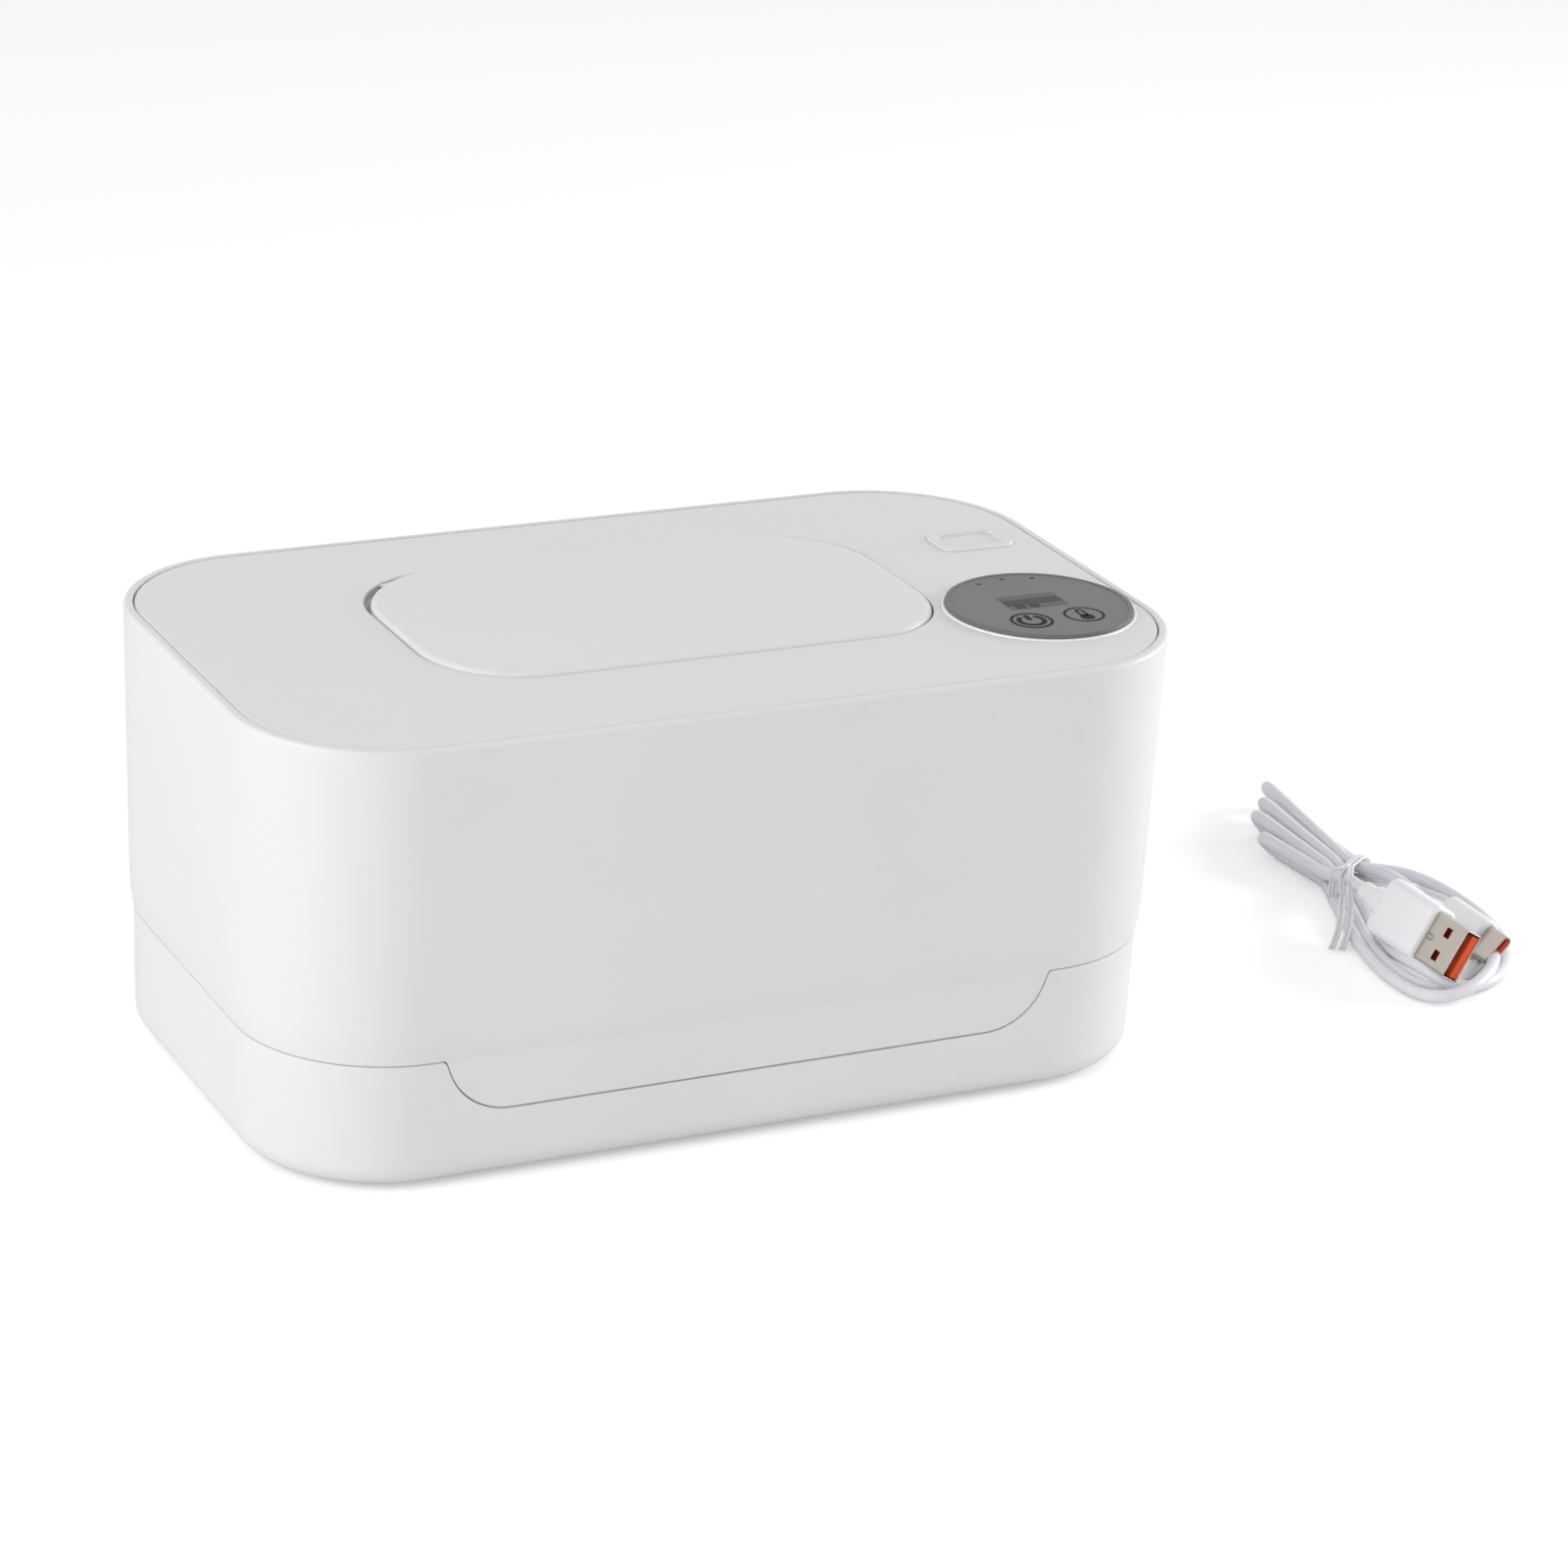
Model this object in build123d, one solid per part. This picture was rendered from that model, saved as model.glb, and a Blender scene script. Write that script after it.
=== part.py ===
from build123d import *
import os
from math import cos, radians, sin

os.makedirs("parts", exist_ok=True)

# ------------------------------------------------------------------ driving dimensions, millimetres
# X runs along the length (control panel at +X), Y to the rear, Z up; z = 0 is the table.
LENGTH = 210.0            # over the top rim
DEPTH = 125.4             # over the top rim
RIM_Z = 97.1              # top rim and top cover
CORNER = 33.2             # plan radius of the four corners at the rim
PARTING_Z = 28.8          # foot of the tall housing
PARTING_GAP = 0.2
TUCK_Z = 36.0             # the housing wall starts to tuck in below this
WALL = 2.0                # housing wall
DRAFT_INSET = 1.3         # how far the wall leans in from the rim to TUCK_Z
TUCK_INSET = 0.75         # extra lean-in at the very foot
RIM_ROUND = 0.9
REACH = 130.0             # past the body on every side, for cutting tools

BASE_TOP = PARTING_Z - PARTING_GAP
BASE_BOTTOM = 0.8         # underside of the base; the feet reach z = 0
BASE_ROUND = 5.4
BASE_INSET_TOP = 2.25
BASE_INSET_BOTTOM = 2.65
BASE_FLOOR_Z = 3.2
SPIGOT_OUT = 4.55         # inset of the lip that the housing closes over
SPIGOT_IN = 6.4
SPIGOT_TOP = 33.5
GASKET_OUT, GASKET_IN = 4.95, 5.95             # insets of the gasket on the lip
GASKET_DEPTH = 0.5        # how deep the gasket sits in its groove
GASKET_PROUD = 0.9
FOOT_R = 6.0
FOOT_X, FOOT_Y = 72.0, 36.0
FOOT_TOP = 2.0
TRAY_TOP = 26.0           # drip tray under the wipes, with five ribs
TRAY_GAP = 0.4
TRAY_WALL = 1.4
RIB_HALF_L = 78.0
RIB_PITCH = 18.0
RIB_T = 1.6
MAGNET_HALF, MAGNET_Y0, MAGNET_Y1, MAGNET_Z0 = 7.0, -55.9, -53.4, 28.4
STRIKE_HALF, STRIKE_Y0, STRIKE_Y1, STRIKE_T = 9.0, -57.4, -54.6, 0.8

TAB_HALF_TOP = 69.2       # front finger tab of the housing: half widths and lowest edge
TAB_HALF_BOTTOM = 64.6
TAB_Z = 16.3
TAB_CORNER = 14.4
TAB_NECK_ROUND = 1.5
TAB_EDGE_ROUND = 0.45
TAB_REACH = 71.4          # half length of the strip that carries the tab

HINGE_Y = 60.4            # rear hinge axis of the housing
HINGE_Z = 28.65
HINGE_X = 46.0            # centre of each hinge
KNUCKLE_R = 2.3
HINGE_PIN_R = 1.0
PIN_FIT = 0.06            # running clearance of both hinge pins in their bores
HINGE_PIN_HALF = 10.2
KNUCKLE_HALF = 5.0        # the housing's knuckle; the base's two lie either side of it
BASE_KNUCKLE_HALF = 2.5
KNUCKLE_STEP = 7.85       # from the hinge's centre to each of the base's knuckles
KNUCKLE_ROOM = 0.4

COVER_Z = 94.5            # underside of the top cover
COVER_INSET = 2.3
LEDGE_Z = 91.6
LEDGE_INSET = 5.5

FLAP_X, FLAP_Y = 2.0, 3.85
WELL_L, WELL_W, WELL_R = 117.6, 69.0, 22.0     # recess that the flap closes into
WELL_FLOOR = 91.6
WELL_WALL = 1.6
WELL_EDGE_ROUND = 0.3
WELL_SLOPE = 3.6          # its wall leans in below the lid, so the gap round the lid is shallow
WELL_REAR_Y = 32.0        # behind this the wall is upright, to let the lid swing
FLAP_GAP = 0.4
FLAP_REAR_R = 25.0        # the lid's rear corners, rounder than the recess so that they clear it
FLAP_TOP = 98.0
FLAP_BOTTOM = 93.5
FLAP_ROUND = 1.6
FLAP_CHAMFER = 2.4
FLAP_AXIS_Y = 34.6
FLAP_AXIS_Z = 96.0
FLAP_PIN_R = 0.75
FLAP_PIN_HALF = 54.0
FLAP_SPRING_HALF = 4.5    # half width of the pocket's coil
FLAP_SPRING_R = 1.35
SPRING_WIRE = 0.5

MOUTH_L, MOUTH_W = 76.0, 28.0                  # dispensing mouth in the well floor
MOUTH_WALL = 1.5
MOUTH_FLANGE = 6.0        # how far the mouth frame's flange covers the well floor
SLOT_L, SLOT_W = 52.0, 7.0                     # opening in the silicone membrane
SLOT_BEAD = 2.5
MEMBRANE_Z, MEMBRANE_T, BEAD_T = 90.6, 1.0, 1.4
SEAL_L, SEAL_W, SEAL_T = 98.0, 50.0, 3.0       # silicone seal under the lid
SEAL_Z = 91.95
LID_HOLLOW_L, LID_HOLLOW_W, LID_HOLLOW = 86.0, 36.0, 2.2

PANEL_X, PANEL_Y = 80.6, -24.8
PANEL_R = 20.4
PANEL_RING_R = 21.1
PANEL_SEAT = 96.0
PANEL_TOP = 98.3
PANEL_EDGE = 0.45
PRINT_R, PRINT_DEPTH = 19.2, 0.1               # shallow recess that the symbols are printed in
KEYS = ((73.9, -33.9), (86.6, -33.9))          # touch keys: power, temperature
LAMPS = ((74.1, -9.3), (80.5, -7.9), (87.2, -9.3))
DISPLAY_X, DISPLAY_Y = 79.8, -22.5
DISPLAY_L, DISPLAY_W = 14.3, 8.4
BADGE_X, BADGE_Y = 87.6, 20.5
BADGE_L, BADGE_W, BADGE_R = 18.0, 12.0, 3.0
BADGE_Z, BADGE_T = 96.3, 1.4
BADGE_RIM, BADGE_FLOOR = 2.0, 0.75             # dished middle of the badge

LINER_INSET = 7.8
LINER_WALL = 1.4
LINER_Z = 35.6
LINER_LIP, LINER_LIP_INSET = 1.2, 3.7          # flange round the liner's foot
WRAP_INSET, WRAP_TOP = 4.6, 82.0               # foam round the liner
DECK_Z = 84.0
PLATE_Z = 85.2            # top of the aluminium heater plate
FILM_Z = 85.5
FOAM_Z = 89.5
SCREW_X, SCREW_Y = 84.0, 44.0
SCREW_HEAD_R, SCREW_HEAD_H, SCREW_R = 2.8, 1.6, 1.25
CUT_L, CUT_W = 80.0, 32.0                      # where the wipes pass the deck and the heater plate
PLATE_PLAN = (176.0, 92.0, 18.0)               # length, width and corner radius
FILM_PLAN = (160.0, 84.0, 14.0)
FOAM_PLAN = (120.0, 84.0, 10.0)
SENSOR_POCKET = (46.5, 70.0, 28.0, 32.0)       # in the foam: x from, x to, y from, y to
FUSE_POCKET = (38.0, 50.0, -36.2, -31.8)

BOARD_Z = 88.0            # underside of the control board
BOARD_T = 1.6
BOARD_R = 15.5
BOARD_SCREWS = ((70.2, -4.2), (91.0, -4.2), (65.0, -40.0))
CHIPS = ((76.5, -13.0, 7.0, 7.0, 1.2), (87.0, -13.5, 6.0, 5.0, 1.5),    # x, y, length, width, height
         (84.5, -30.0, 5.0, 4.0, 1.0), (75.5, -28.0, 3.2, 1.6, 1.2))
SMALL_SCREW_R, SMALL_HEAD_R, SMALL_HEAD_H = 0.95, 1.9, 1.2
SMALL_SCREW_TOP = 93.2
BOSS_R, BOSS_HOLE_R = 2.2, 1.0
PORT_X, PORT_Z = 70.0, 89.45
PORT_L, PORT_W = 8.94, 3.26                    # outside of the USB-C socket's shell
PORT_BOARD_Z, PORT_BOARD_T = 86.6, 1.2
PORT_SCREWS = ((63.6, 46.5), (76.4, 46.5))
WIRE_R = 0.6
SENSOR_WIRE_R = 0.5

LATCH_X, LATCH_Y = 2.0, -23.8
LATCH_HALF_L, LATCH_HALF_W = 6.0, 2.9
LATCH_Z = 86.0
PLUNGER_HALF_L, PLUNGER_HALF_W = 3.7, 1.6
PLUNGER_Z = (88.4, 93.1)
KEEPER_HALF_L, KEEPER_HALF_W, KEEPER_T = 4.0, 2.0, 0.8

CABLE_R = 1.5
HANK_H = 7.0
HANK_ROUND = 2.0
HANK_CHAMFER = 1.6
HANK_OUTER = ((206.8, 70.8), (203.4, 48.0), (201.2, 34.0), (200.8, 23.0), (206.4, 17.6), (211.6, 11.8),
              (215.4, -1.0), (212.6, -23.8), (206.8, -35.8), (198.6, -46.0), (188.6, -51.8), (178.4, -52.8),
              (172.2, -47.4), (171.2, -34.6), (173.4, -20.4), (182.2, 4.4), (185.6, 16.0), (185.4, 26.0),
              (183.6, 36.0), (184.4, 44.6), (191.0, 58.2), (201.0, 71.4))
HANK_INNER = ((199.0, 9.0), (205.4, -1.2), (202.4, -22.0), (191.4, -37.6), (184.4, -41.4), (180.6, -37.0),
              (182.8, -19.0), (190.4, 5.0))
LEAD_A = ((183.3, -6.8, 10.3), (184.6, 2.0, 9.4), (189.0, 13.0, 5.0))
LEAD_C = ((198.6, -12.2, 6.2), (199.2, 0.0, 5.8), (197.4, 13.0, 4.6))
LEAD_BEND = 9.0

TIE_X, TIE_Y, TIE_TURN = 193.6, 15.8, 38.0     # middle of the tie's band and how far it slants
TIE_SPAN, TIE_WIDTH, TIE_H, TIE_T = 22.4, 2.6, 8.4, 0.6
TIE_WIRE_R = 0.7
TIE_TAIL = ((187.0, 11.6, 8.0), (182.4, 5.0, 7.2), (176.0, -6.0, 3.4), (170.6, -13.5, 1.0))
TIE_TAIL_BENDS = (5.0, 6.0)
TIE_TAIL_STEP = 2.6

PLUG_A = (183.3, -47.8, 10.3)                  # centre of the USB-A mouth, lying on the hank
PLUG_A_ROLL = 60.0
A_SHELL_L, A_SHELL_W, A_SHELL_T = 14.0, 12.0, 4.5
A_BODY = (-31.0, -12.0, 14.2, 7.6, 2.4)        # ends along the plug, width, thickness, corner radius
A_COLLARS = ((-33.2, 4.8, 3.2, 3.5), (-38.2, 5.6, 2.2, 2.6))   # centre, length, end radii
A_ROUND = 1.0
A_WINDOW_X, A_WINDOW_Y, A_WINDOW_L, A_WINDOW_W = -5.6, 2.9, 2.2, 2.4
A_TONGUE_L, A_TONGUE_W, A_TONGUE_T, A_TONGUE_Z = 13.5, 10.6, 1.8, -1.0
PLUG_C = (198.6, -40.0, 6.2)                   # centre of the USB-C mouth
PLUG_C_ROLL = 46.0
C_SHELL_L, C_SHELL_W, C_SHELL_T = 8.6, 8.3, 2.5
C_BODY = (-22.6, -6.6, 10.4, 6.0, 2.6)
C_COLLARS = ((-25.2, 5.2, 2.1, 2.6),)
C_ROUND = 0.8
C_SLOT_W, C_SLOT_T, C_SLOT_X = 6.9, 0.8, -6.0
SHELL_WALL = 0.3


# ------------------------------------------------------------------ helpers
def outline(z, inset):
    """The body's rounded plan at height z, shrunk by inset all round."""
    return Plane.XY.offset(z) * RectangleRounded(LENGTH - 2 * inset, DEPTH - 2 * inset, CORNER - inset)


def slab(z0, z1, inset):
    """A straight-walled slab of the body's plan."""
    return extrude(outline(z0, inset), z1 - z0)


def ring(z0, z1, outer, inner):
    """A straight-walled ring between two insets."""
    return slab(z0, z1, outer) - slab(z0 - 1, z1 + 1, inner)


def lofted(levels):
    """A solid through (height, inset) levels."""
    return loft([outline(z, inset) for z, inset in levels], ruled=True)


def pill(length, width, z0, z1, x=FLAP_X, y=FLAP_Y, radius=None):
    """A rounded plate; with no radius its ends are half round."""
    r = width / 2 - 0.01 if radius is None else radius
    return Pos(x, y, z0) * extrude(RectangleRounded(length, width, r), z1 - z0)


def block(x0, x1, y0, y1, z0, z1):
    """A box between two corners."""
    return Pos((x0 + x1) / 2, (y0 + y1) / 2, (z0 + z1) / 2) * Box(x1 - x0, y1 - y0, z1 - z0)


def post(x, y, z0, z1, r):
    """An upright cylinder."""
    return Pos(x, y, (z0 + z1) / 2) * Cylinder(r, z1 - z0)


def rod(x0, x1, y, z, r):
    """A cylinder along X."""
    return Pos((x0 + x1) / 2, y, z) * Rot(0, 90, 0) * Cylinder(r, x1 - x0)


def tube(points, radii, r):
    """A round cord of radius r along straight runs joined by arcs."""
    path = FilletPolyline(*points, radius=radii)
    start = Plane(origin=path @ 0, z_dir=path % 0)
    return sweep(start * Circle(r), path=path)


def coil(radius, wire, pitch, height):
    """An open coil spring standing on z = 0."""
    line = Helix(pitch=pitch, height=height, radius=radius)
    return sweep(Plane(origin=line @ 0, z_dir=line % 0) * Circle(wire), path=line)


def group(shapes):
    """Several separate solids as one node."""
    return Compound(children=[s if isinstance(s, Solid) else s.solid() for s in shapes])


def save(shape, node):
    """Write one node."""
    shape.label = node
    export_step(shape, f"parts/{node}.step")


def housing_inset(z):
    """Inset of the housing's outer wall at height z."""
    lean = DRAFT_INSET * (RIM_Z - z) / (RIM_Z - TUCK_Z)
    tuck = max(0.0, (TUCK_Z - z) / (TUCK_Z - PARTING_Z))
    return lean + TUCK_INSET * tuck ** 2


def base_inset(z):
    """Inset of the base's outer wall at height z."""
    share = (z - BASE_BOTTOM) / (BASE_TOP - BASE_BOTTOM)
    return BASE_INSET_BOTTOM + (BASE_INSET_TOP - BASE_INSET_BOTTOM) * share


def skirt_profile(grow):
    """Front view of the housing's foot with its finger tab, extruded through the front wall."""
    band = Pos(0, (PARTING_Z + 50) / 2) * Rectangle(180, 50 - PARTING_Z)
    tab = Polygon((-TAB_HALF_TOP, PARTING_Z + 0.2), (-TAB_HALF_BOTTOM, TAB_Z), (TAB_HALF_BOTTOM, TAB_Z),
                  (TAB_HALF_TOP, PARTING_Z + 0.2), align=None)
    face = band + tab
    low = face.vertices().sort_by(Axis.Y)[0:2]
    face = fillet(low, TAB_CORNER)
    neck = [v for v in face.vertices() if abs(v.Y - PARTING_Z) < 0.5 and abs(abs(v.X) - TAB_HALF_TOP) < 1]
    face = fillet(neck, TAB_NECK_ROUND)
    if grow:
        face = offset(face, grow)
    return extrude(Plane.XZ.offset(30) * face, 60)


# ------------------------------------------------------------------ base
def make_base_tray():
    body = lofted([(BASE_BOTTOM, BASE_INSET_BOTTOM), (BASE_TOP, BASE_INSET_TOP)])
    body = fillet(body.edges().group_by(Axis.Z)[0], BASE_ROUND)
    body += slab(BASE_TOP - 2, SPIGOT_TOP, SPIGOT_OUT)
    body -= slab(BASE_FLOOR_Z, SPIGOT_TOP + 1, SPIGOT_IN)
    # recess that the finger tab hangs in
    outside = slab(0, SPIGOT_TOP + 8, -5) - slab(-1, SPIGOT_TOP + 9, SPIGOT_OUT + 0.2)
    body -= skirt_profile(PARTING_GAP) & outside & block(-REACH, REACH, -REACH, 0, 0, BASE_TOP + 0.1)
    # seat of the catch magnet
    body += block(-10, 10, -DEPTH / 2 + SPIGOT_IN - 1, MAGNET_Y1 + 0.9, BASE_TOP - 2.2, SPIGOT_TOP)
    body -= block(-MAGNET_HALF, MAGNET_HALF, MAGNET_Y0, MAGNET_Y1, MAGNET_Z0, SPIGOT_TOP + 1)
    body -= ring(SPIGOT_TOP - GASKET_DEPTH, SPIGOT_TOP + 1, GASKET_OUT, GASKET_IN)
    for sx in (-1, 1):
        # room for the housing's knuckle, then the base's two knuckles either side of it
        room, half = KNUCKLE_R + KNUCKLE_ROOM, KNUCKLE_HALF + 0.3
        body -= block(sx * HINGE_X - half, sx * HINGE_X + half, HINGE_Y - room, REACH,
                      HINGE_Z - room, SPIGOT_TOP)
        for side in (-1, 1):
            x = sx * HINGE_X + side * KNUCKLE_STEP
            body += rod(x - BASE_KNUCKLE_HALF, x + BASE_KNUCKLE_HALF, HINGE_Y, HINGE_Z, KNUCKLE_R)
        body -= rod(sx * HINGE_X - 12, sx * HINGE_X + 12, HINGE_Y, HINGE_Z, HINGE_PIN_R)
        for sy in (-1, 1):
            body -= post(sx * FOOT_X, sy * FOOT_Y, 0, FOOT_TOP, FOOT_R + 0.1)
    return body


def make_wipes_tray():
    outer, floor = SPIGOT_IN + TRAY_GAP, BASE_FLOOR_Z + TRAY_WALL
    tray = slab(BASE_FLOOR_Z, TRAY_TOP, outer) - slab(floor, TRAY_TOP + 1, outer + TRAY_WALL)
    for i in range(-2, 3):
        y = i * RIB_PITCH
        tray += block(-RIB_HALF_L, RIB_HALF_L, y - RIB_T / 2, y + RIB_T / 2, floor - 0.4, floor + 1.0)
    return tray


def make_base_gasket():
    return ring(SPIGOT_TOP - GASKET_DEPTH, SPIGOT_TOP + GASKET_PROUD, GASKET_OUT, GASKET_IN)


def make_catch_magnet():
    return block(-MAGNET_HALF, MAGNET_HALF, MAGNET_Y0, MAGNET_Y1, MAGNET_Z0, SPIGOT_TOP - 0.1)


def make_feet():
    feet = []
    for sx in (-1, 1):
        for sy in (-1, 1):
            foot = post(sx * FOOT_X, sy * FOOT_Y, 0, FOOT_TOP, FOOT_R)
            feet.append(fillet(foot.edges().group_by(Axis.Z)[0], 0.5))
    return group(feet)


def make_hinge_pins():
    return group([rod(x - HINGE_PIN_HALF, x + HINGE_PIN_HALF, HINGE_Y, HINGE_Z, HINGE_PIN_R)
                  for x in (-HINGE_X, HINGE_X)])


# ------------------------------------------------------------------ housing
def finger_tab():
    """The tab below the housing's foot, flush with the base's front and rounded along its outer edge."""
    top = PARTING_Z + 1.6
    skin = lofted([(10, base_inset(10)), (top + 1, base_inset(top + 1))])
    skin -= lofted([(9, base_inset(9) + WALL), (top + 2, base_inset(top + 2) + WALL)])
    tab = skirt_profile(0) & skin & block(-TAB_REACH, TAB_REACH, -80, -40, 10, top)
    rounded = []
    for edge in tab.edges():
        middle = edge @ 0.5
        in_front = middle.Y < -(DEPTH / 2 - base_inset(middle.Z)) + 0.02
        if in_front and middle.Z < PARTING_Z + 0.1 and abs(middle.X) < TAB_REACH - 0.01:
            rounded.append(edge)
    return fillet(rounded, TAB_EDGE_ROUND)


def make_housing_shell():
    foot = [PARTING_Z + i * (TUCK_Z - PARTING_Z) / 4 for i in range(5)]
    levels = [(z, housing_inset(z)) for z in foot] + [(RIM_Z, 0.0)]
    body = lofted(levels)
    body = fillet(body.edges().group_by(Axis.Z)[-1], RIM_ROUND)
    inner = [(z, inset + WALL) for z, inset in levels]
    inner = [(PARTING_Z - 1, inner[0][1])] + inner + [(RIM_Z + 1, WALL)]
    body -= lofted(inner)
    body += ring(LEDGE_Z, COVER_Z, 1.0, LEDGE_INSET)
    body += finger_tab()
    for sx in (-1, 1):
        for side in (-1, 1):
            x, half = sx * HINGE_X + side * KNUCKLE_STEP, BASE_KNUCKLE_HALF + 0.3
            room = KNUCKLE_R + KNUCKLE_ROOM
            body -= block(x - half, x + half, HINGE_Y - room, REACH, PARTING_Z - 1, HINGE_Z + room)
        body += rod(sx * HINGE_X - KNUCKLE_HALF, sx * HINGE_X + KNUCKLE_HALF, HINGE_Y, HINGE_Z, KNUCKLE_R)
        body -= rod(sx * HINGE_X - 6, sx * HINGE_X + 6, HINGE_Y, HINGE_Z, HINGE_PIN_R + PIN_FIT)
    # charging port: a through slot in a shallow recess
    behind = Plane.XZ.offset(-REACH) * Pos(PORT_X, PORT_Z)
    body -= extrude(behind * RectangleRounded(PORT_L + 0.7, PORT_W + 0.7, 1.9), REACH - 56)
    recess = REACH - (DEPTH / 2 - housing_inset(PORT_Z) - 0.8)
    body -= extrude(behind * RectangleRounded(PORT_L + 4.6, PORT_W + 3.8, 3.4), recess)
    return body


def flap_well():
    """The recess for the flap: sloped round its floor, upright behind the flap's hinge."""
    upright = pill(WELL_L, WELL_W, WELL_FLOOR, RIM_Z + 1, radius=WELL_R)
    sloped = chamfer(upright.edges().group_by(Axis.Z)[0], WELL_SLOPE)
    return sloped + (upright & block(-REACH, REACH, WELL_REAR_Y, REACH, WELL_FLOOR, RIM_Z + 1))


def make_top_cover():
    plate = slab(COVER_Z, RIM_Z, COVER_INSET)
    plate = fillet(plate.edges().group_by(Axis.Z)[-1], 0.6)
    wall = 2 * WELL_WALL
    plate += pill(WELL_L + wall, WELL_W + wall, WELL_FLOOR - 1.6, COVER_Z + 0.5, radius=WELL_R + WELL_WALL)
    for side in (-1, 1):
        near, far = FLAP_X + side * (FLAP_PIN_HALF - 6), FLAP_X + side * (FLAP_PIN_HALF + 2)
        plate += block(min(near, far), max(near, far), FLAP_AXIS_Y - 3.2, FLAP_AXIS_Y + 3.2,
                       WELL_FLOOR + 1, COVER_Z + 0.5)
    plate -= flap_well()
    half_l, half_w = WELL_L / 2 + 0.1, WELL_W / 2 + 0.1
    rim = [e for e in plate.edges().filter_by_position(Axis.Z, RIM_Z - 0.01, RIM_Z + 0.01)
           if abs(e.center().X - FLAP_X) < half_l and abs(e.center().Y - FLAP_Y) < half_w]
    plate = fillet(rim, WELL_EDGE_ROUND)
    plate -= pill(MOUTH_L, MOUTH_W, WELL_FLOOR - 3, WELL_FLOOR + 1)
    plate -= latch_block(LATCH_HALF_L + 0.1, LATCH_HALF_W + 0.1, DECK_Z, WELL_FLOOR + 1)
    pin_reach = FLAP_PIN_HALF + 0.4
    plate -= rod(FLAP_X - pin_reach, FLAP_X + pin_reach, FLAP_AXIS_Y, FLAP_AXIS_Z, FLAP_PIN_R + PIN_FIT)
    # control panel bore with its seat
    plate -= post(PANEL_X, PANEL_Y, PANEL_SEAT, RIM_Z + 1, PANEL_RING_R + 0.05)
    plate -= post(PANEL_X, PANEL_Y, COVER_Z - 1, RIM_Z, PANEL_R - 1.8)
    plate -= Pos(BADGE_X, BADGE_Y, BADGE_Z) * extrude(
        RectangleRounded(BADGE_L + 0.2, BADGE_W + 0.2, BADGE_R + 0.1), BADGE_T + 1)
    # bosses: four for the liner screws, three for the board, two for the port board
    for sx in (-1, 1):
        for sy in (-1, 1):
            x, y = sx * SCREW_X, sy * SCREW_Y
            plate += post(x, y, DECK_Z, COVER_Z + 0.5, 3.0)
            plate -= post(x, y, DECK_Z - 1, WELL_FLOOR + 0.4, SCREW_R + 0.05)
    for points, seat in ((BOARD_SCREWS, BOARD_Z + BOARD_T), (PORT_SCREWS, PORT_BOARD_Z + PORT_BOARD_T)):
        for x, y in points:
            plate += post(x, y, seat, COVER_Z + 0.5, BOSS_R)
            plate -= post(x, y, seat - 1, SMALL_SCREW_TOP + 0.2, BOSS_HOLE_R)
    return plate


def make_mouth_frame():
    flange, wall = 2 * MOUTH_FLANGE, 2 * MOUTH_WALL + 0.4
    frame = pill(MOUTH_L + flange, MOUTH_W + flange, WELL_FLOOR, WELL_FLOOR + 1.0)
    frame = fillet(frame.edges().group_by(Axis.Z)[-1], 0.5)
    frame += pill(MOUTH_L - 0.4, MOUTH_W - 0.4, DECK_Z - LINER_WALL, WELL_FLOOR + 0.1)
    return frame - pill(MOUTH_L - wall, MOUTH_W - wall, DECK_Z - 4, RIM_Z)


def make_mouth_membrane():
    wall, around = 2 * MOUTH_WALL + 0.4, 2 * SLOT_BEAD
    sheet = pill(MOUTH_L - wall, MOUTH_W - wall, MEMBRANE_Z, MEMBRANE_Z + MEMBRANE_T)
    bead = pill(SLOT_L + around, SLOT_W + around, MEMBRANE_Z, MEMBRANE_Z + BEAD_T)
    return sheet + bead - pill(SLOT_L, SLOT_W, MEMBRANE_Z - 1, MEMBRANE_Z + BEAD_T + 1)


def make_inner_liner():
    inside = LINER_INSET + LINER_WALL
    liner = slab(LINER_Z, DECK_Z, LINER_INSET) - slab(LINER_Z - 1, DECK_Z - LINER_WALL, inside)
    liner += ring(LINER_Z, LINER_Z + LINER_LIP, LINER_LIP_INSET, inside)
    liner -= pill(CUT_L, CUT_W, DECK_Z - 3, DECK_Z + 1)
    for sx in (-1, 1):
        for sy in (-1, 1):
            liner -= post(sx * SCREW_X, sy * SCREW_Y, DECK_Z - 3, DECK_Z + 1, SCREW_R + 0.45)
    return liner


def make_strike_plate():
    return block(-STRIKE_HALF, STRIKE_HALF, STRIKE_Y0, STRIKE_Y1, LINER_Z - STRIKE_T, LINER_Z)


def make_heater_plate():
    plate = Pos(0, 0, DECK_Z) * extrude(RectangleRounded(*PLATE_PLAN), PLATE_Z - DECK_Z)
    return plate - pill(CUT_L, CUT_W, DECK_Z - 1, PLATE_Z + 1)


def make_heater_film():
    film = Pos(0, 0, PLATE_Z) * extrude(RectangleRounded(*FILM_PLAN), FILM_Z - PLATE_Z)
    return film - pill(CUT_L + 4, CUT_W + 4, PLATE_Z - 1, FILM_Z + 1)


def make_insulation_pad():
    pad = Pos(0, 0, FILM_Z) * extrude(RectangleRounded(*FOAM_PLAN), FOAM_Z - FILM_Z)
    pad -= pill(CUT_L + 4, CUT_W + 4, FILM_Z - 1, FOAM_Z + 1)
    pad -= latch_block(LATCH_HALF_L + 1, LATCH_HALF_W + 1.1, FILM_Z - 1, FOAM_Z + 1)
    pad -= block(*SENSOR_POCKET, FILM_Z - 1, 88.2)
    return pad - block(*FUSE_POCKET, FILM_Z - 1, 89.0)


def make_insulation_wrap():
    return ring(LINER_Z + LINER_LIP, WRAP_TOP, WRAP_INSET, LINER_INSET - 0.1)


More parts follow.
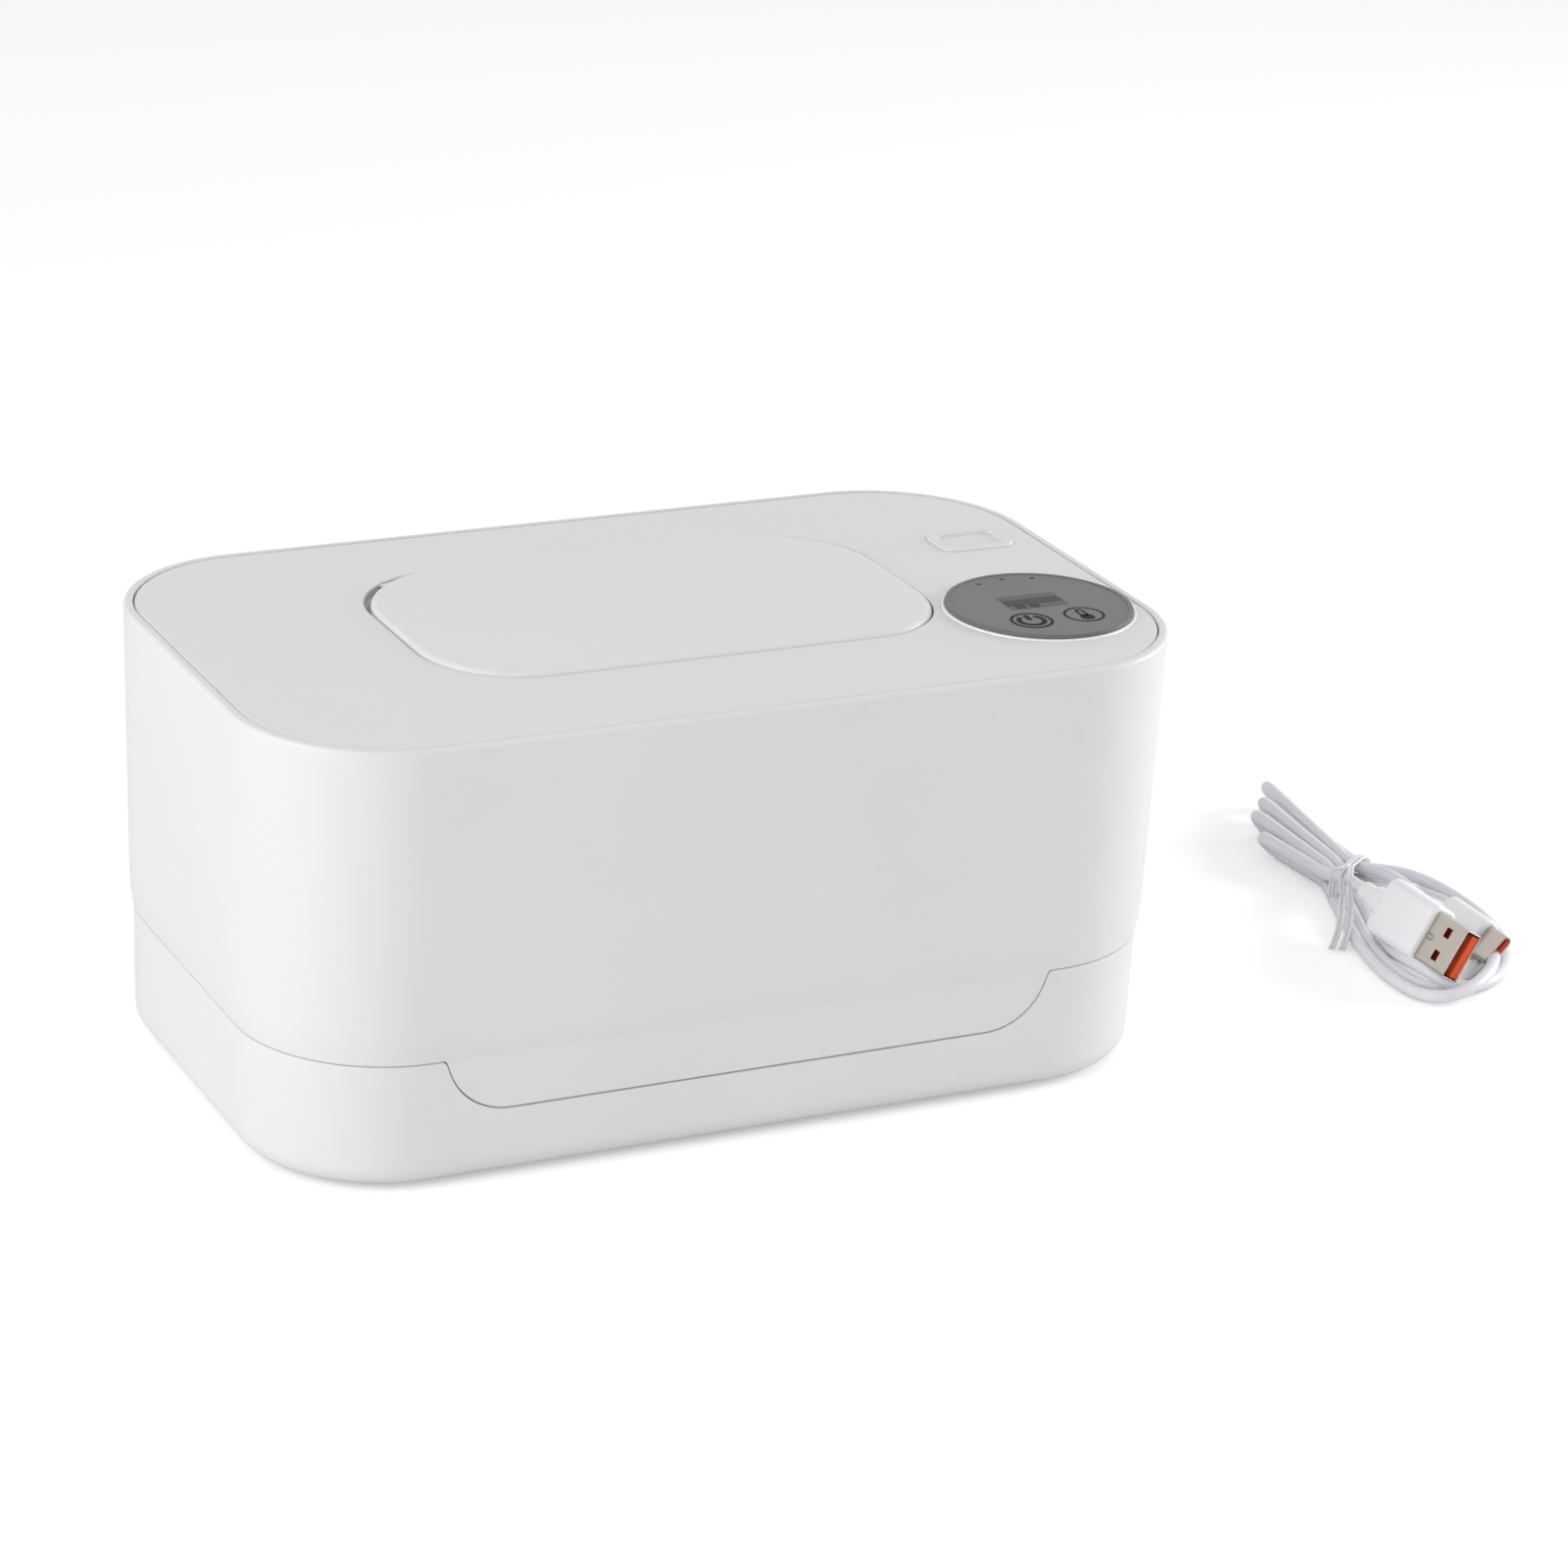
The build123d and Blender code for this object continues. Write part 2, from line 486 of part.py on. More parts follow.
def latch_block(half_l, half_w, z0, z1):
    """A box centred on the latch."""
    return block(LATCH_X - half_l, LATCH_X + half_l, LATCH_Y - half_w, LATCH_Y + half_w, z0, z1)


def make_latch_body():
    body = latch_block(LATCH_HALF_L, LATCH_HALF_W, LATCH_Z, WELL_FLOOR)
    return body - latch_block(PLUNGER_HALF_L + 0.3, PLUNGER_HALF_W + 0.3, LATCH_Z + 0.7, WELL_FLOOR + 1)


def make_latch_plunger():
    plunger = latch_block(PLUNGER_HALF_L, PLUNGER_HALF_W, *PLUNGER_Z)
    return fillet(plunger.edges().group_by(Axis.Z)[-1], 0.5)


# ------------------------------------------------------------------ controls and wiring
def make_control_board():
    board = post(PANEL_X, PANEL_Y, BOARD_Z, BOARD_Z + BOARD_T, BOARD_R)
    board += block(67, 94, PANEL_Y, -1, BOARD_Z, BOARD_Z + BOARD_T)
    board += block(62.2, 72, -43, -33, BOARD_Z, BOARD_Z + BOARD_T)
    for x, y in BOARD_SCREWS:
        board -= post(x, y, BOARD_Z - 1, BOARD_Z + 3, 1.2)
    return board


def make_board_parts():
    return group([block(x - l / 2, x + l / 2, y - w / 2, y + w / 2, BOARD_Z - h, BOARD_Z)
                  for x, y, l, w, h in CHIPS])


def make_display():
    x, y = DISPLAY_L / 2, DISPLAY_W / 2
    return block(DISPLAY_X - x, DISPLAY_X + x, DISPLAY_Y - y, DISPLAY_Y + y, BOARD_Z + BOARD_T, PANEL_SEAT)


def make_lamps():
    return group([block(x - 0.8, x + 0.8, y - 0.5, y + 0.5, BOARD_Z + BOARD_T, 90.3) for x, y in LAMPS])


def make_light_guide():
    guide = block(LAMPS[0][0], LAMPS[2][0], -9.6, -7.6, 91.2, 92.2)
    for x, y in LAMPS:
        guide += post(x, y, 90.4, PANEL_SEAT, 1.0)
    return guide


def make_touch_springs():
    height = PANEL_SEAT - BOARD_Z - BOARD_T - 0.5
    spring = coil(2.8, 0.25, height / 5, height)
    return group([Pos(x, y, BOARD_Z + BOARD_T + 0.25) * spring for x, y in KEYS])


def make_panel_disc():
    disc = post(PANEL_X, PANEL_Y, PANEL_SEAT, PANEL_TOP, PANEL_R)
    disc = fillet(disc.edges().group_by(Axis.Z)[-1], PANEL_EDGE)
    return disc - post(PANEL_X, PANEL_Y, PANEL_TOP - PRINT_DEPTH, PANEL_TOP + 1, PRINT_R)


def make_panel_ring():
    hoop = post(PANEL_X, PANEL_Y, PANEL_SEAT, RIM_Z + 0.35, PANEL_RING_R)
    hoop = fillet(hoop.edges().group_by(Axis.Z)[-1], 0.3)
    return hoop - post(PANEL_X, PANEL_Y, PANEL_SEAT - 1, PANEL_TOP, PANEL_R + 0.05)


def make_blank_badge():
    badge = extrude(RectangleRounded(BADGE_L, BADGE_W, BADGE_R), BADGE_T)
    badge = fillet(badge.edges().group_by(Axis.Z)[-1], 0.5)
    dish = RectangleRounded(BADGE_L - 2 * BADGE_RIM, BADGE_W - 2 * BADGE_RIM, BADGE_R - 1)
    badge -= Pos(0, 0, BADGE_FLOOR) * extrude(dish, BADGE_T)
    return Pos(BADGE_X, BADGE_Y, BADGE_Z) * badge


def make_usb_board():
    board = block(61, 79, 43.5, 59.5, PORT_BOARD_Z, PORT_BOARD_Z + PORT_BOARD_T)
    for x, y in PORT_SCREWS:
        board -= post(x, y, PORT_BOARD_Z - 1, PORT_BOARD_Z + 3, 1.2)
    return board


def make_usb_socket():
    mouth = Plane.XZ.offset(-61.6) * Pos(PORT_X, PORT_Z)
    wall = 2 * SHELL_WALL
    shell = extrude(mouth * RectangleRounded(PORT_L, PORT_W, 1.5), 8.0)
    shell -= extrude(mouth * RectangleRounded(PORT_L - wall, PORT_W - wall, 1.3), 6.8)
    return shell + block(PORT_X - 3.35, PORT_X + 3.35, 54.0, 60.6, PORT_Z - 0.35, PORT_Z + 0.35)


def make_wire_harness():
    wires = []
    for i in range(3):
        x = 67.3 + 1.5 * i
        run = [(x, 45, 88.4), (x, 34, 90.2), (x - 1, 14, 91.0), (x + 6, -3, 90.3)]
        wires.append(tube(run, [8, 12], WIRE_R))
    for x in (70.5, 73.0):
        wires.append(post(x, -20, FILM_Z, BOARD_Z, SENSOR_WIRE_R))
    return group(wires)


def make_ntc_sensor():
    bead = block(48, 53, 28.6, 31.4, FILM_Z, FILM_Z + 2)
    run = [(52.8, 30, 86.6), (62.5, 30, 86.6), (66.5, 14, 86.6), (76, -4, 87.4)]
    lead = tube(run, [6, 10], SENSOR_WIRE_R)
    return bead + lead


def make_thermal_fuse():
    return rod(39, 49, -34, FILM_Z + 1.5, 1.5)


def make_board_screws():
    screws = []
    for points, seat, head in ((BOARD_SCREWS, BOARD_Z, SMALL_HEAD_H), (PORT_SCREWS, PORT_BOARD_Z, 1.0)):
        for x, y in points:
            shank = post(x, y, seat, SMALL_SCREW_TOP, SMALL_SCREW_R)
            screws.append(shank + post(x, y, seat - head, seat, SMALL_HEAD_R))
    return group(screws)


def make_liner_screws():
    screws = []
    deck_under = DECK_Z - LINER_WALL
    for sx in (-1, 1):
        for sy in (-1, 1):
            x, y = sx * SCREW_X, sy * SCREW_Y
            head = post(x, y, deck_under - SCREW_HEAD_H, deck_under, SCREW_HEAD_R)
            head -= post(x, y, deck_under - 2, deck_under - 0.7, 1.1)
            screws.append(head + post(x, y, deck_under, WELL_FLOOR, SCREW_R))
    return group(screws)


# ------------------------------------------------------------------ flap
def make_flap_lid():
    plan = Rectangle(WELL_L - 2 * FLAP_GAP, WELL_W - 2 * FLAP_GAP)
    front, rear = plan.vertices().group_by(Axis.Y)
    plan = fillet(front, WELL_R - FLAP_GAP)
    plan = fillet(plan.vertices().group_by(Axis.Y)[-1], FLAP_REAR_R)
    lid = Pos(FLAP_X, FLAP_Y, FLAP_BOTTOM) * extrude(plan, FLAP_TOP - FLAP_BOTTOM)
    lid = fillet(lid.edges().group_by(Axis.Z)[-1], FLAP_ROUND)
    lid = chamfer(lid.edges().group_by(Axis.Z)[0], FLAP_CHAMFER)
    lid -= pill(LID_HOLLOW_L, LID_HOLLOW_W, FLAP_BOTTOM - 1, FLAP_BOTTOM + LID_HOLLOW)
    room = FLAP_SPRING_HALF + 1.0
    lid -= block(FLAP_X - room, FLAP_X + room, FLAP_AXIS_Y - FLAP_SPRING_R - 0.5, REACH,
                 FLAP_BOTTOM - 1, FLAP_AXIS_Z + FLAP_SPRING_R + 0.15)
    lid -= rod(-REACH, REACH, FLAP_AXIS_Y, FLAP_AXIS_Z, FLAP_PIN_R)
    return lid - latch_block(KEEPER_HALF_L, KEEPER_HALF_W, FLAP_BOTTOM - 1, FLAP_BOTTOM + KEEPER_T)


def make_flap_seal():
    around = pill(SEAL_L, SEAL_W, SEAL_Z, FLAP_BOTTOM)
    return around - pill(SEAL_L - 2 * SEAL_T, SEAL_W - 2 * SEAL_T, SEAL_Z - 1, FLAP_BOTTOM + 1)


def make_flap_pin():
    return rod(FLAP_X - FLAP_PIN_HALF, FLAP_X + FLAP_PIN_HALF, FLAP_AXIS_Y, FLAP_AXIS_Z, FLAP_PIN_R)


def make_flap_keeper():
    return latch_block(KEEPER_HALF_L, KEEPER_HALF_W, FLAP_BOTTOM, FLAP_BOTTOM + KEEPER_T)


def make_flap_spring():
    """A close-wound torsion spring round the pin, with one leg pressing on the recess floor."""
    inner = FLAP_SPRING_R - SPRING_WIRE
    middle = FLAP_SPRING_R - SPRING_WIRE / 2
    turns = round(2 * FLAP_SPRING_HALF / SPRING_WIRE)
    starts = [i * SPRING_WIRE for i in range(turns)]
    crests = [ThreePointArc((x, middle), (x + SPRING_WIRE / 2, FLAP_SPRING_R), (x + SPRING_WIRE, middle))
              for x in starts]
    length = turns * SPRING_WIRE
    sides = Polyline((length, middle), (length, inner), (0, inner), (0, middle))
    profile = make_face(Curve() + crests + [sides])
    winding = revolve(profile, Axis.X)
    winding = Pos(FLAP_X - FLAP_SPRING_HALF, FLAP_AXIS_Y, FLAP_AXIS_Z) * winding
    leg_x = FLAP_X - FLAP_SPRING_HALF + SPRING_WIRE
    return winding + post(leg_x, FLAP_AXIS_Y - middle, WELL_FLOOR, FLAP_AXIS_Z, SPRING_WIRE / 2 - 0.02)


# ------------------------------------------------------------------ loose cable
def make_hank():
    outer = Polygon(*HANK_OUTER, align=None)
    outer = fillet(outer.vertices(), HANK_ROUND)
    inner = Polygon(*HANK_INNER, align=None)
    inner = fillet(inner.vertices(), HANK_ROUND)
    up = (0, 0, 1)
    hank = extrude(outer, HANK_H, dir=up)
    hank = chamfer(hank.edges().group_by(Axis.Z)[-1], HANK_CHAMFER)
    return hank - Pos(0, 0, -1) * extrude(inner, HANK_H + 2, dir=up)


def make_tie():
    """The twist tie: a slanting band round the hank and two loose tails."""
    half = TIE_SPAN / 2
    band = block(-half, half, -TIE_WIDTH / 2, TIE_WIDTH / 2, 0, TIE_H)
    band -= block(TIE_T - half, half - TIE_T, -TIE_WIDTH, TIE_WIDTH, TIE_T, TIE_H - TIE_T)
    tie = Pos(TIE_X, TIE_Y, 0) * Rot(0, 0, TIE_TURN) * band
    for spread in (0.0, TIE_TAIL_STEP):
        run = [(x + spread * (i + 1) / len(TIE_TAIL), y, z) for i, (x, y, z) in enumerate(TIE_TAIL)]
        tie += tube(run, TIE_TAIL_BENDS, TIE_WIRE_R)
    return group([tie])


def plug_plane(mouth, roll):
    """Local x leaves the mouth, y is across the plug's width and z its thickness."""
    return Plane(origin=mouth, x_dir=(0, -1, 0), z_dir=(-sin(radians(roll)), 0, cos(radians(roll))))


def plug_bar(x0, x1, width, thick, radius):
    """A rounded bar along the plug's axis."""
    return extrude(Plane.YZ.offset(x0) * RectangleRounded(width, thick, radius), x1 - x0)


def plug_body(ends, collars, rounding):
    """The moulded grip of a plug with its tapered collars."""
    body = plug_bar(*ends)
    body = fillet(body.edges().group_by(Axis.X)[0] + body.edges().group_by(Axis.X)[-1], rounding)
    for centre, length, rear, front in collars:
        body += Pos(centre, 0, 0) * Rot(0, 90, 0) * Cone(rear, front, length)
    return body


def make_usb_a():
    place = plug_plane(PLUG_A, PLUG_A_ROLL)
    wall = 2 * SHELL_WALL
    size = (A_SHELL_W, A_SHELL_T, 0.6)
    body = plug_body(A_BODY, A_COLLARS, A_ROUND) - plug_bar(-A_SHELL_L, 1, *size)
    shell = plug_bar(-A_SHELL_L, 0, *size)
    shell -= plug_bar(SHELL_WALL - A_SHELL_L, 1, A_SHELL_W - wall, A_SHELL_T - wall, 0.4)
    for y in (-A_WINDOW_Y, A_WINDOW_Y):
        for z in (-2, 2):
            shell -= Pos(A_WINDOW_X, y, z) * Box(A_WINDOW_L, A_WINDOW_W, 2)
    tongue_x = SHELL_WALL - A_SHELL_L + A_TONGUE_L / 2
    insert = Pos(tongue_x, 0, A_TONGUE_Z) * Box(A_TONGUE_L, A_TONGUE_W, A_TONGUE_T)
    return place * body, place * shell, place * insert


def make_usb_c():
    place = plug_plane(PLUG_C, PLUG_C_ROLL)
    wall = 2 * SHELL_WALL
    size = (C_SHELL_W, C_SHELL_T, 1.2)
    inside = (C_SHELL_W - wall, C_SHELL_T - wall, 0.9)
    body = plug_body(C_BODY, C_COLLARS, C_ROUND) - plug_bar(-C_SHELL_L, 1, *size)
    shell = plug_bar(-C_SHELL_L, 0, *size) - plug_bar(SHELL_WALL - C_SHELL_L, 1, *inside)
    insert = plug_bar(SHELL_WALL - C_SHELL_L, -0.4, *inside)
    insert -= plug_bar(C_SLOT_X, 1, C_SLOT_W, C_SLOT_T, 0.3)
    return place * body, place * shell, place * insert


# ------------------------------------------------------------------ write every node
save(make_base_tray(), "base_tray")
save(make_wipes_tray(), "wipes_tray")
save(make_base_gasket(), "base_gasket")
save(make_feet(), "rubber_feet")
save(make_hinge_pins(), "housing_hinge_pins")
save(make_catch_magnet(), "catch_magnet")

save(make_housing_shell(), "housing_shell")
save(make_top_cover(), "top_cover")
save(make_mouth_frame(), "mouth_frame")
save(make_mouth_membrane(), "mouth_membrane")
save(make_inner_liner(), "inner_liner")
save(make_strike_plate(), "strike_plate")
save(make_heater_plate(), "heater_plate")
save(make_heater_film(), "heater_film")
save(make_insulation_pad(), "insulation_pad")
save(make_insulation_wrap(), "insulation_wrap")
save(make_latch_body(), "latch_body")

save(make_panel_disc(), "panel_disc")
save(make_panel_ring(), "panel_ring")
save(make_blank_badge(), "blank_badge")
save(make_control_board(), "control_board")
save(make_board_parts(), "board_components")
save(make_display(), "display_module")
save(make_lamps(), "status_lamps")
save(make_light_guide(), "light_guide")
save(make_touch_springs(), "touch_springs")
save(make_usb_board(), "port_board")
save(make_usb_socket(), "usb_c_socket")
save(make_wire_harness(), "wire_harness")
save(make_ntc_sensor(), "temperature_sensor")
save(make_thermal_fuse(), "thermal_fuse")
save(make_board_screws(), "board_screws")
save(make_liner_screws(), "liner_screws")

save(make_flap_lid(), "flap_lid")
save(make_flap_seal(), "flap_seal")
save(make_flap_pin(), "flap_hinge_pin")
save(make_flap_keeper(), "flap_keeper")
save(make_flap_spring(), "flap_spring")
save(make_latch_plunger(), "latch_plunger")

save(make_hank(), "cable_hank")
save(make_tie(), "cable_tie")
for node, run in (("cable_lead_a", LEAD_A), ("cable_lead_c", LEAD_C)):
    save(tube(run, [LEAD_BEND], CABLE_R), node)
    print(f"{node}: cord of radius {CABLE_R} mm, bent to a radius of {LEAD_BEND} mm")
for name, pieces in (("usb_a", make_usb_a()), ("usb_c", make_usb_c())):
    for piece, suffix in zip(pieces, ("overmould", "shell", "insert")):
        save(piece, f"{name}_{suffix}")
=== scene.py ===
"""Baby wipe warmer: the dressed model of a rounded white warmer and its tied USB cable.

Lengths are in metres unless a docstring says millimetres. +X runs along the warmer,
+Y to its rear hinge and +Z up, with z = 0 on the table.
"""
import logging
from dataclasses import dataclass, field
from enum import Enum
from functools import cache
from math import cos, pi, radians, sin, tau
from typing import Iterable, Sequence

import bmesh
import bpy
from mathutils import Matrix, Vector


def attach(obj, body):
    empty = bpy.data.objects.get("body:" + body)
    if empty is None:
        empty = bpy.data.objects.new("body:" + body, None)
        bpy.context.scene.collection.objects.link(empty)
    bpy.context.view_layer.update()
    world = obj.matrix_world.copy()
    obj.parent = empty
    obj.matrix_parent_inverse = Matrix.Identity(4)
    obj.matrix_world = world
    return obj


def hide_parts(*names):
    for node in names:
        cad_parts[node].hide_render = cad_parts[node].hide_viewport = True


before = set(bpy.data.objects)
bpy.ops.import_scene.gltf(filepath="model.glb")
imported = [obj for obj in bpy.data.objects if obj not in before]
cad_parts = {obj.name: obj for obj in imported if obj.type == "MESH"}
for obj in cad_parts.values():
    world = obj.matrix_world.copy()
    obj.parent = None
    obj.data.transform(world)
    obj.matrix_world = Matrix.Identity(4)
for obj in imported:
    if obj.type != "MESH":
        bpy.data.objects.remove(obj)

log = logging.getLogger("wipe_warmer")
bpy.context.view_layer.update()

MM = 0.001
EDGE_NORMALS = (0.995, 0.85)    # agreement of soft and true normals, from flat to full edge
DRIFT_SIZE = 0.035              # width of the slow drift in colour and gloss
TONE_RANGE = (0.7, 1.3)         # drift plus pattern, from the darkest to the lightest tone
GLOSS_RANGE = (0.6, 1.4)        # drift plus pattern, from the glossiest to the dullest
GLOSS_SPREAD = 0.18             # how far the roughness varies, as a share of itself
WEAR_AND_HIGHLIGHT_PALE = 0.5                 # how far a fully lightened edge goes from its colour to white: painted highlight on rounded edges, with a little rubbing on most finishes
BRUSH_RATE = 12.0               # changes per metre along a brushed scratch
SCATTER_DEPTH = 0.002           # how deep light goes into silicone and cable jacket
FOLD_HANDLE = 0.414             # share of the reach at which a half turn's control points lie

Socket = bpy.types.NodeSocket
Point = tuple[float, float, float]
Spot = tuple[float, float]
Outline = list[Spot]
Print = tuple[Outline, Outline | None]


class Grain(Enum):
    """Surface patterns that the finishes choose from."""

    SPARK = "spark"        # fine erosion of a moulding tool
    BRUSHED = "brushed"    # long straight scratches
    CELLS = "cells"        # closed foam cells
    SOFT = "soft"          # smooth rubber and cable jacket
    TRACKS = "tracks"      # etched lines of a circuit board or film


class Body(Enum):
    """Moving bodies that take new pieces along."""

    HOUSING = "housing"
    CABLE = "usb_cable"


# ---------------------------------------------------------------- material tools
class Recipe:
    """One material's node tree, with short calls for the nodes that the finishes share."""

    def __init__(self, name: str) -> None:
        """Starts an empty node tree.

        Args:
            name: the material's name.
        """
        self.material = bpy.data.materials.new(name)
        self.material.use_nodes = True
        self.tree = self.material.node_tree
        self.tree.nodes.clear()
        self.output = self.node("ShaderNodeOutputMaterial")
        self.place = self.node("ShaderNodeTexCoord").outputs["Object"]

    def node(self, kind: str, **settings: object) -> bpy.types.Node:
        """Adds a node.

        Args:
            kind: the node's Blender type.
            **settings: attributes to set on it.

        Returns:
            The new node.
        """
        made = self.tree.nodes.new(kind)
        for name, value in settings.items():
            setattr(made, name, value)
        return made

    def link(self, source: Socket, target: Socket) -> None:
        """Joins two sockets."""
        self.tree.links.new(source, target)

    def stretched(self, scale: Point) -> Socket:
        """Object coordinates multiplied per axis.

        Args:
            scale: the factor along X, Y and Z.

        Returns:
            The scaled coordinate socket.
        """
        mapping = self.node("ShaderNodeMapping")
        self.link(self.place, mapping.inputs["Vector"])
        mapping.inputs["Scale"].default_value = scale
        return mapping.outputs["Vector"]

    def noise(self, size: float, detail: float, place: Socket | None = None) -> Socket:
        """Noise with features of a given size.

        Args:
            size: the feature size in metres.
            detail: the number of finer octaves.
            place: the coordinates, or object coordinates.

        Returns:
            The noise's factor socket, about 0.5 on average.
        """
        made = self.node("ShaderNodeTexNoise")
        made.inputs["Scale"].default_value = 1.0 / size
        made.inputs["Detail"].default_value = detail
        self.link(place or self.place, made.inputs["Vector"])
        return made.outputs["Fac"]

    def cells(self, size: float) -> Socket:
        """Distance to the nearest cell centre.

        Args:
            size: the cell size in metres.

        Returns:
            The distance socket.
        """
        made = self.node("ShaderNodeTexVoronoi")
        made.inputs["Scale"].default_value = 1.0 / size
        self.link(self.place, made.inputs["Vector"])
        return made.outputs["Distance"]

    def remap(self, source: Socket, low: float, high: float, out_low: float,
              out_high: float) -> Socket:
        """Maps one range of a value to another.

        Args:
            source: the value.
            low: start of its range.
            high: end of its range.
            out_low: the result at low.
            out_high: the result at high.

        Returns:
            The mapped, clamped value.
        """
        made = self.node("ShaderNodeMapRange")
        self.link(source, made.inputs["Value"])
        for name, value in (("From Min", low), ("From Max", high),
                            ("To Min", out_low), ("To Max", out_high)):
            made.inputs[name].default_value = value
        return made.outputs["Result"]

    def mix(self, share: Socket, first: Sequence[float] | Socket,
            second: Sequence[float]) -> Socket:
        """Mixes two colours.

        Args:
            share: how much of the second colour shows.
            first: the first colour, or a colour socket.
            second: the second colour.

        Returns:
            The mixed colour.
        """
        made = self.node("ShaderNodeMix", data_type="RGBA")
        self.link(share, made.inputs[0])
        if isinstance(first, Socket):
            self.link(first, made.inputs[6])
        else:
            made.inputs[6].default_value = (*first, 1.0)
        made.inputs[7].default_value = (*second, 1.0)
        return made.outputs[2]

    def add(self, first: Socket, second: Socket) -> Socket:
        """Adds two values.

        Args:
            first: one value.
            second: the other value.

        Returns:
            Their sum.
        """
        made = self.node("ShaderNodeMath", operation="ADD")
        self.link(first, made.inputs[0])
        self.link(second, made.inputs[1])
        return made.outputs[0]

    def rounded(self, radius: float) -> tuple[Socket, Socket]:
        """Softened edges and where they are.

        Args:
            radius: the softened width in metres.

        Returns:
            The softened normal and a mask that is 1 on edges.
        """
        soft = self.node("ShaderNodeBevel", samples=4)
        soft.inputs["Radius"].default_value = radius
        flat = self.node("ShaderNodeNewGeometry").outputs["Normal"]
        dot = self.node("ShaderNodeVectorMath", operation="DOT_PRODUCT")
        self.link(soft.outputs["Normal"], dot.inputs[0])
        self.link(flat, dot.inputs[1])
        return soft.outputs["Normal"], self.remap(dot.outputs["Value"], *EDGE_NORMALS, 0.0, 1.0)


@dataclass(frozen=True)
class Finish:
    """How one kind of surface looks.

    Attributes:
        name: the material's name.
        slot: the record's material slot; not used.
        colour: linear base colour.
        roughness: middle of the roughness range.
        metallic: 1 on metal.
        grain: the surface pattern.
        grain_size: size of the pattern in metres.
        relief: depth of the pattern in metres.
        mottle: how far the colour varies.
        wear_and_highlight: how much lighter the edges are; strong values paint a highlight along
            rounded edges, small ones give a little rubbing.
        edge: width of the softened edge in metres.
        see_through: transmission share.
        scatter: share of light that scatters below the surface.
        shine: strength of its mirror reflection.
    """

    name: str
    slot: str
    colour: tuple[float, float, float]
    roughness: float = 0.4
    metallic: float = 0.0
    grain: Grain = Grain.SPARK
    grain_size: float = 0.0003
    relief: float = 0.000004
    mottle: float = 0.015
    wear_and_highlight: float = 0.05
    edge: float = 0.00025
    see_through: float = 0.0
    scatter: float = 0.0
    shine: float = 0.5

    def pattern(self, recipe: Recipe) -> Socket:
        """Height of the surface pattern.

        Args:
            recipe: the material being built.

        Returns:
            The height socket, from 0 to 1.
        """
        if self.grain is Grain.BRUSHED:
            across = 1 / self.grain_size
            return recipe.noise(1.0, 4.0, recipe.stretched((BRUSH_RATE, across, across)))
        if self.grain is Grain.CELLS:
            return recipe.cells(self.grain_size)
        if self.grain is Grain.TRACKS:
            wave = recipe.node("ShaderNodeTexWave", bands_direction="DIAGONAL")
            wave.inputs["Scale"].default_value = 0.3 / self.grain_size
            wave.inputs["Distortion"].default_value = 2.0
            recipe.link(recipe.place, wave.inputs["Vector"])
            return wave.outputs["Fac"]
        return recipe.noise(self.grain_size, 3.0 if self.grain is Grain.SPARK else 1.0)

    @cache
    def material(self) -> bpy.types.Material:
        """The finish as a Blender material, made once.

        Returns:
            The material.
        """
        recipe = Recipe(f"finish_{self.name}")
        shader = recipe.node("ShaderNodeBsdfPrincipled")
        soft_normal, edges = recipe.rounded(self.edge)
        fine = self.pattern(recipe)
        uneven = recipe.add(recipe.noise(DRIFT_SIZE, 3.0), fine)
        darker = [c * (1 - self.mottle) for c in self.colour]
        lighter = [min(1.0, c * (1 + self.mottle)) for c in self.colour]
        tone = recipe.mix(recipe.remap(uneven, *TONE_RANGE, 0.0, 1.0), darker, lighter)
        # The edges are mixed towards white: a painted highlight on the rounded edges, and a little
        # rubbing on finishes with a small share.
        pale = [c + (1 - c) * WEAR_AND_HIGHLIGHT_PALE for c in self.colour]
        wear_and_highlight_share = recipe.remap(edges, 0.0, 1.0, 0.0, self.wear_and_highlight)
        recipe.link(recipe.mix(wear_and_highlight_share, tone, pale), shader.inputs["Base Color"])
        spread = GLOSS_SPREAD * self.roughness
        gloss = recipe.remap(uneven, *GLOSS_RANGE, self.roughness - spread,
                             self.roughness + spread)
        recipe.link(gloss, shader.inputs["Roughness"])
        bump = recipe.node("ShaderNodeBump")
        bump.inputs["Strength"].default_value = 1.0
        bump.inputs["Distance"].default_value = self.relief
        recipe.link(fine, bump.inputs["Height"])
        recipe.link(soft_normal, bump.inputs["Normal"])
        recipe.link(bump.outputs["Normal"], shader.inputs["Normal"])
        shader.inputs["Metallic"].default_value = self.metallic
        shader.inputs["Specular IOR Level"].default_value = self.shine
        shader.inputs["Transmission Weight"].default_value = self.see_through
        shader.inputs["Subsurface Weight"].default_value = self.scatter
        shader.inputs["Subsurface Scale"].default_value = SCATTER_DEPTH
        recipe.link(shader.outputs["BSDF"], recipe.output.inputs["Surface"])
        return recipe.material


# ---------------------------------------------------------------- finishes
WHITE = (0.80, 0.80, 0.81)
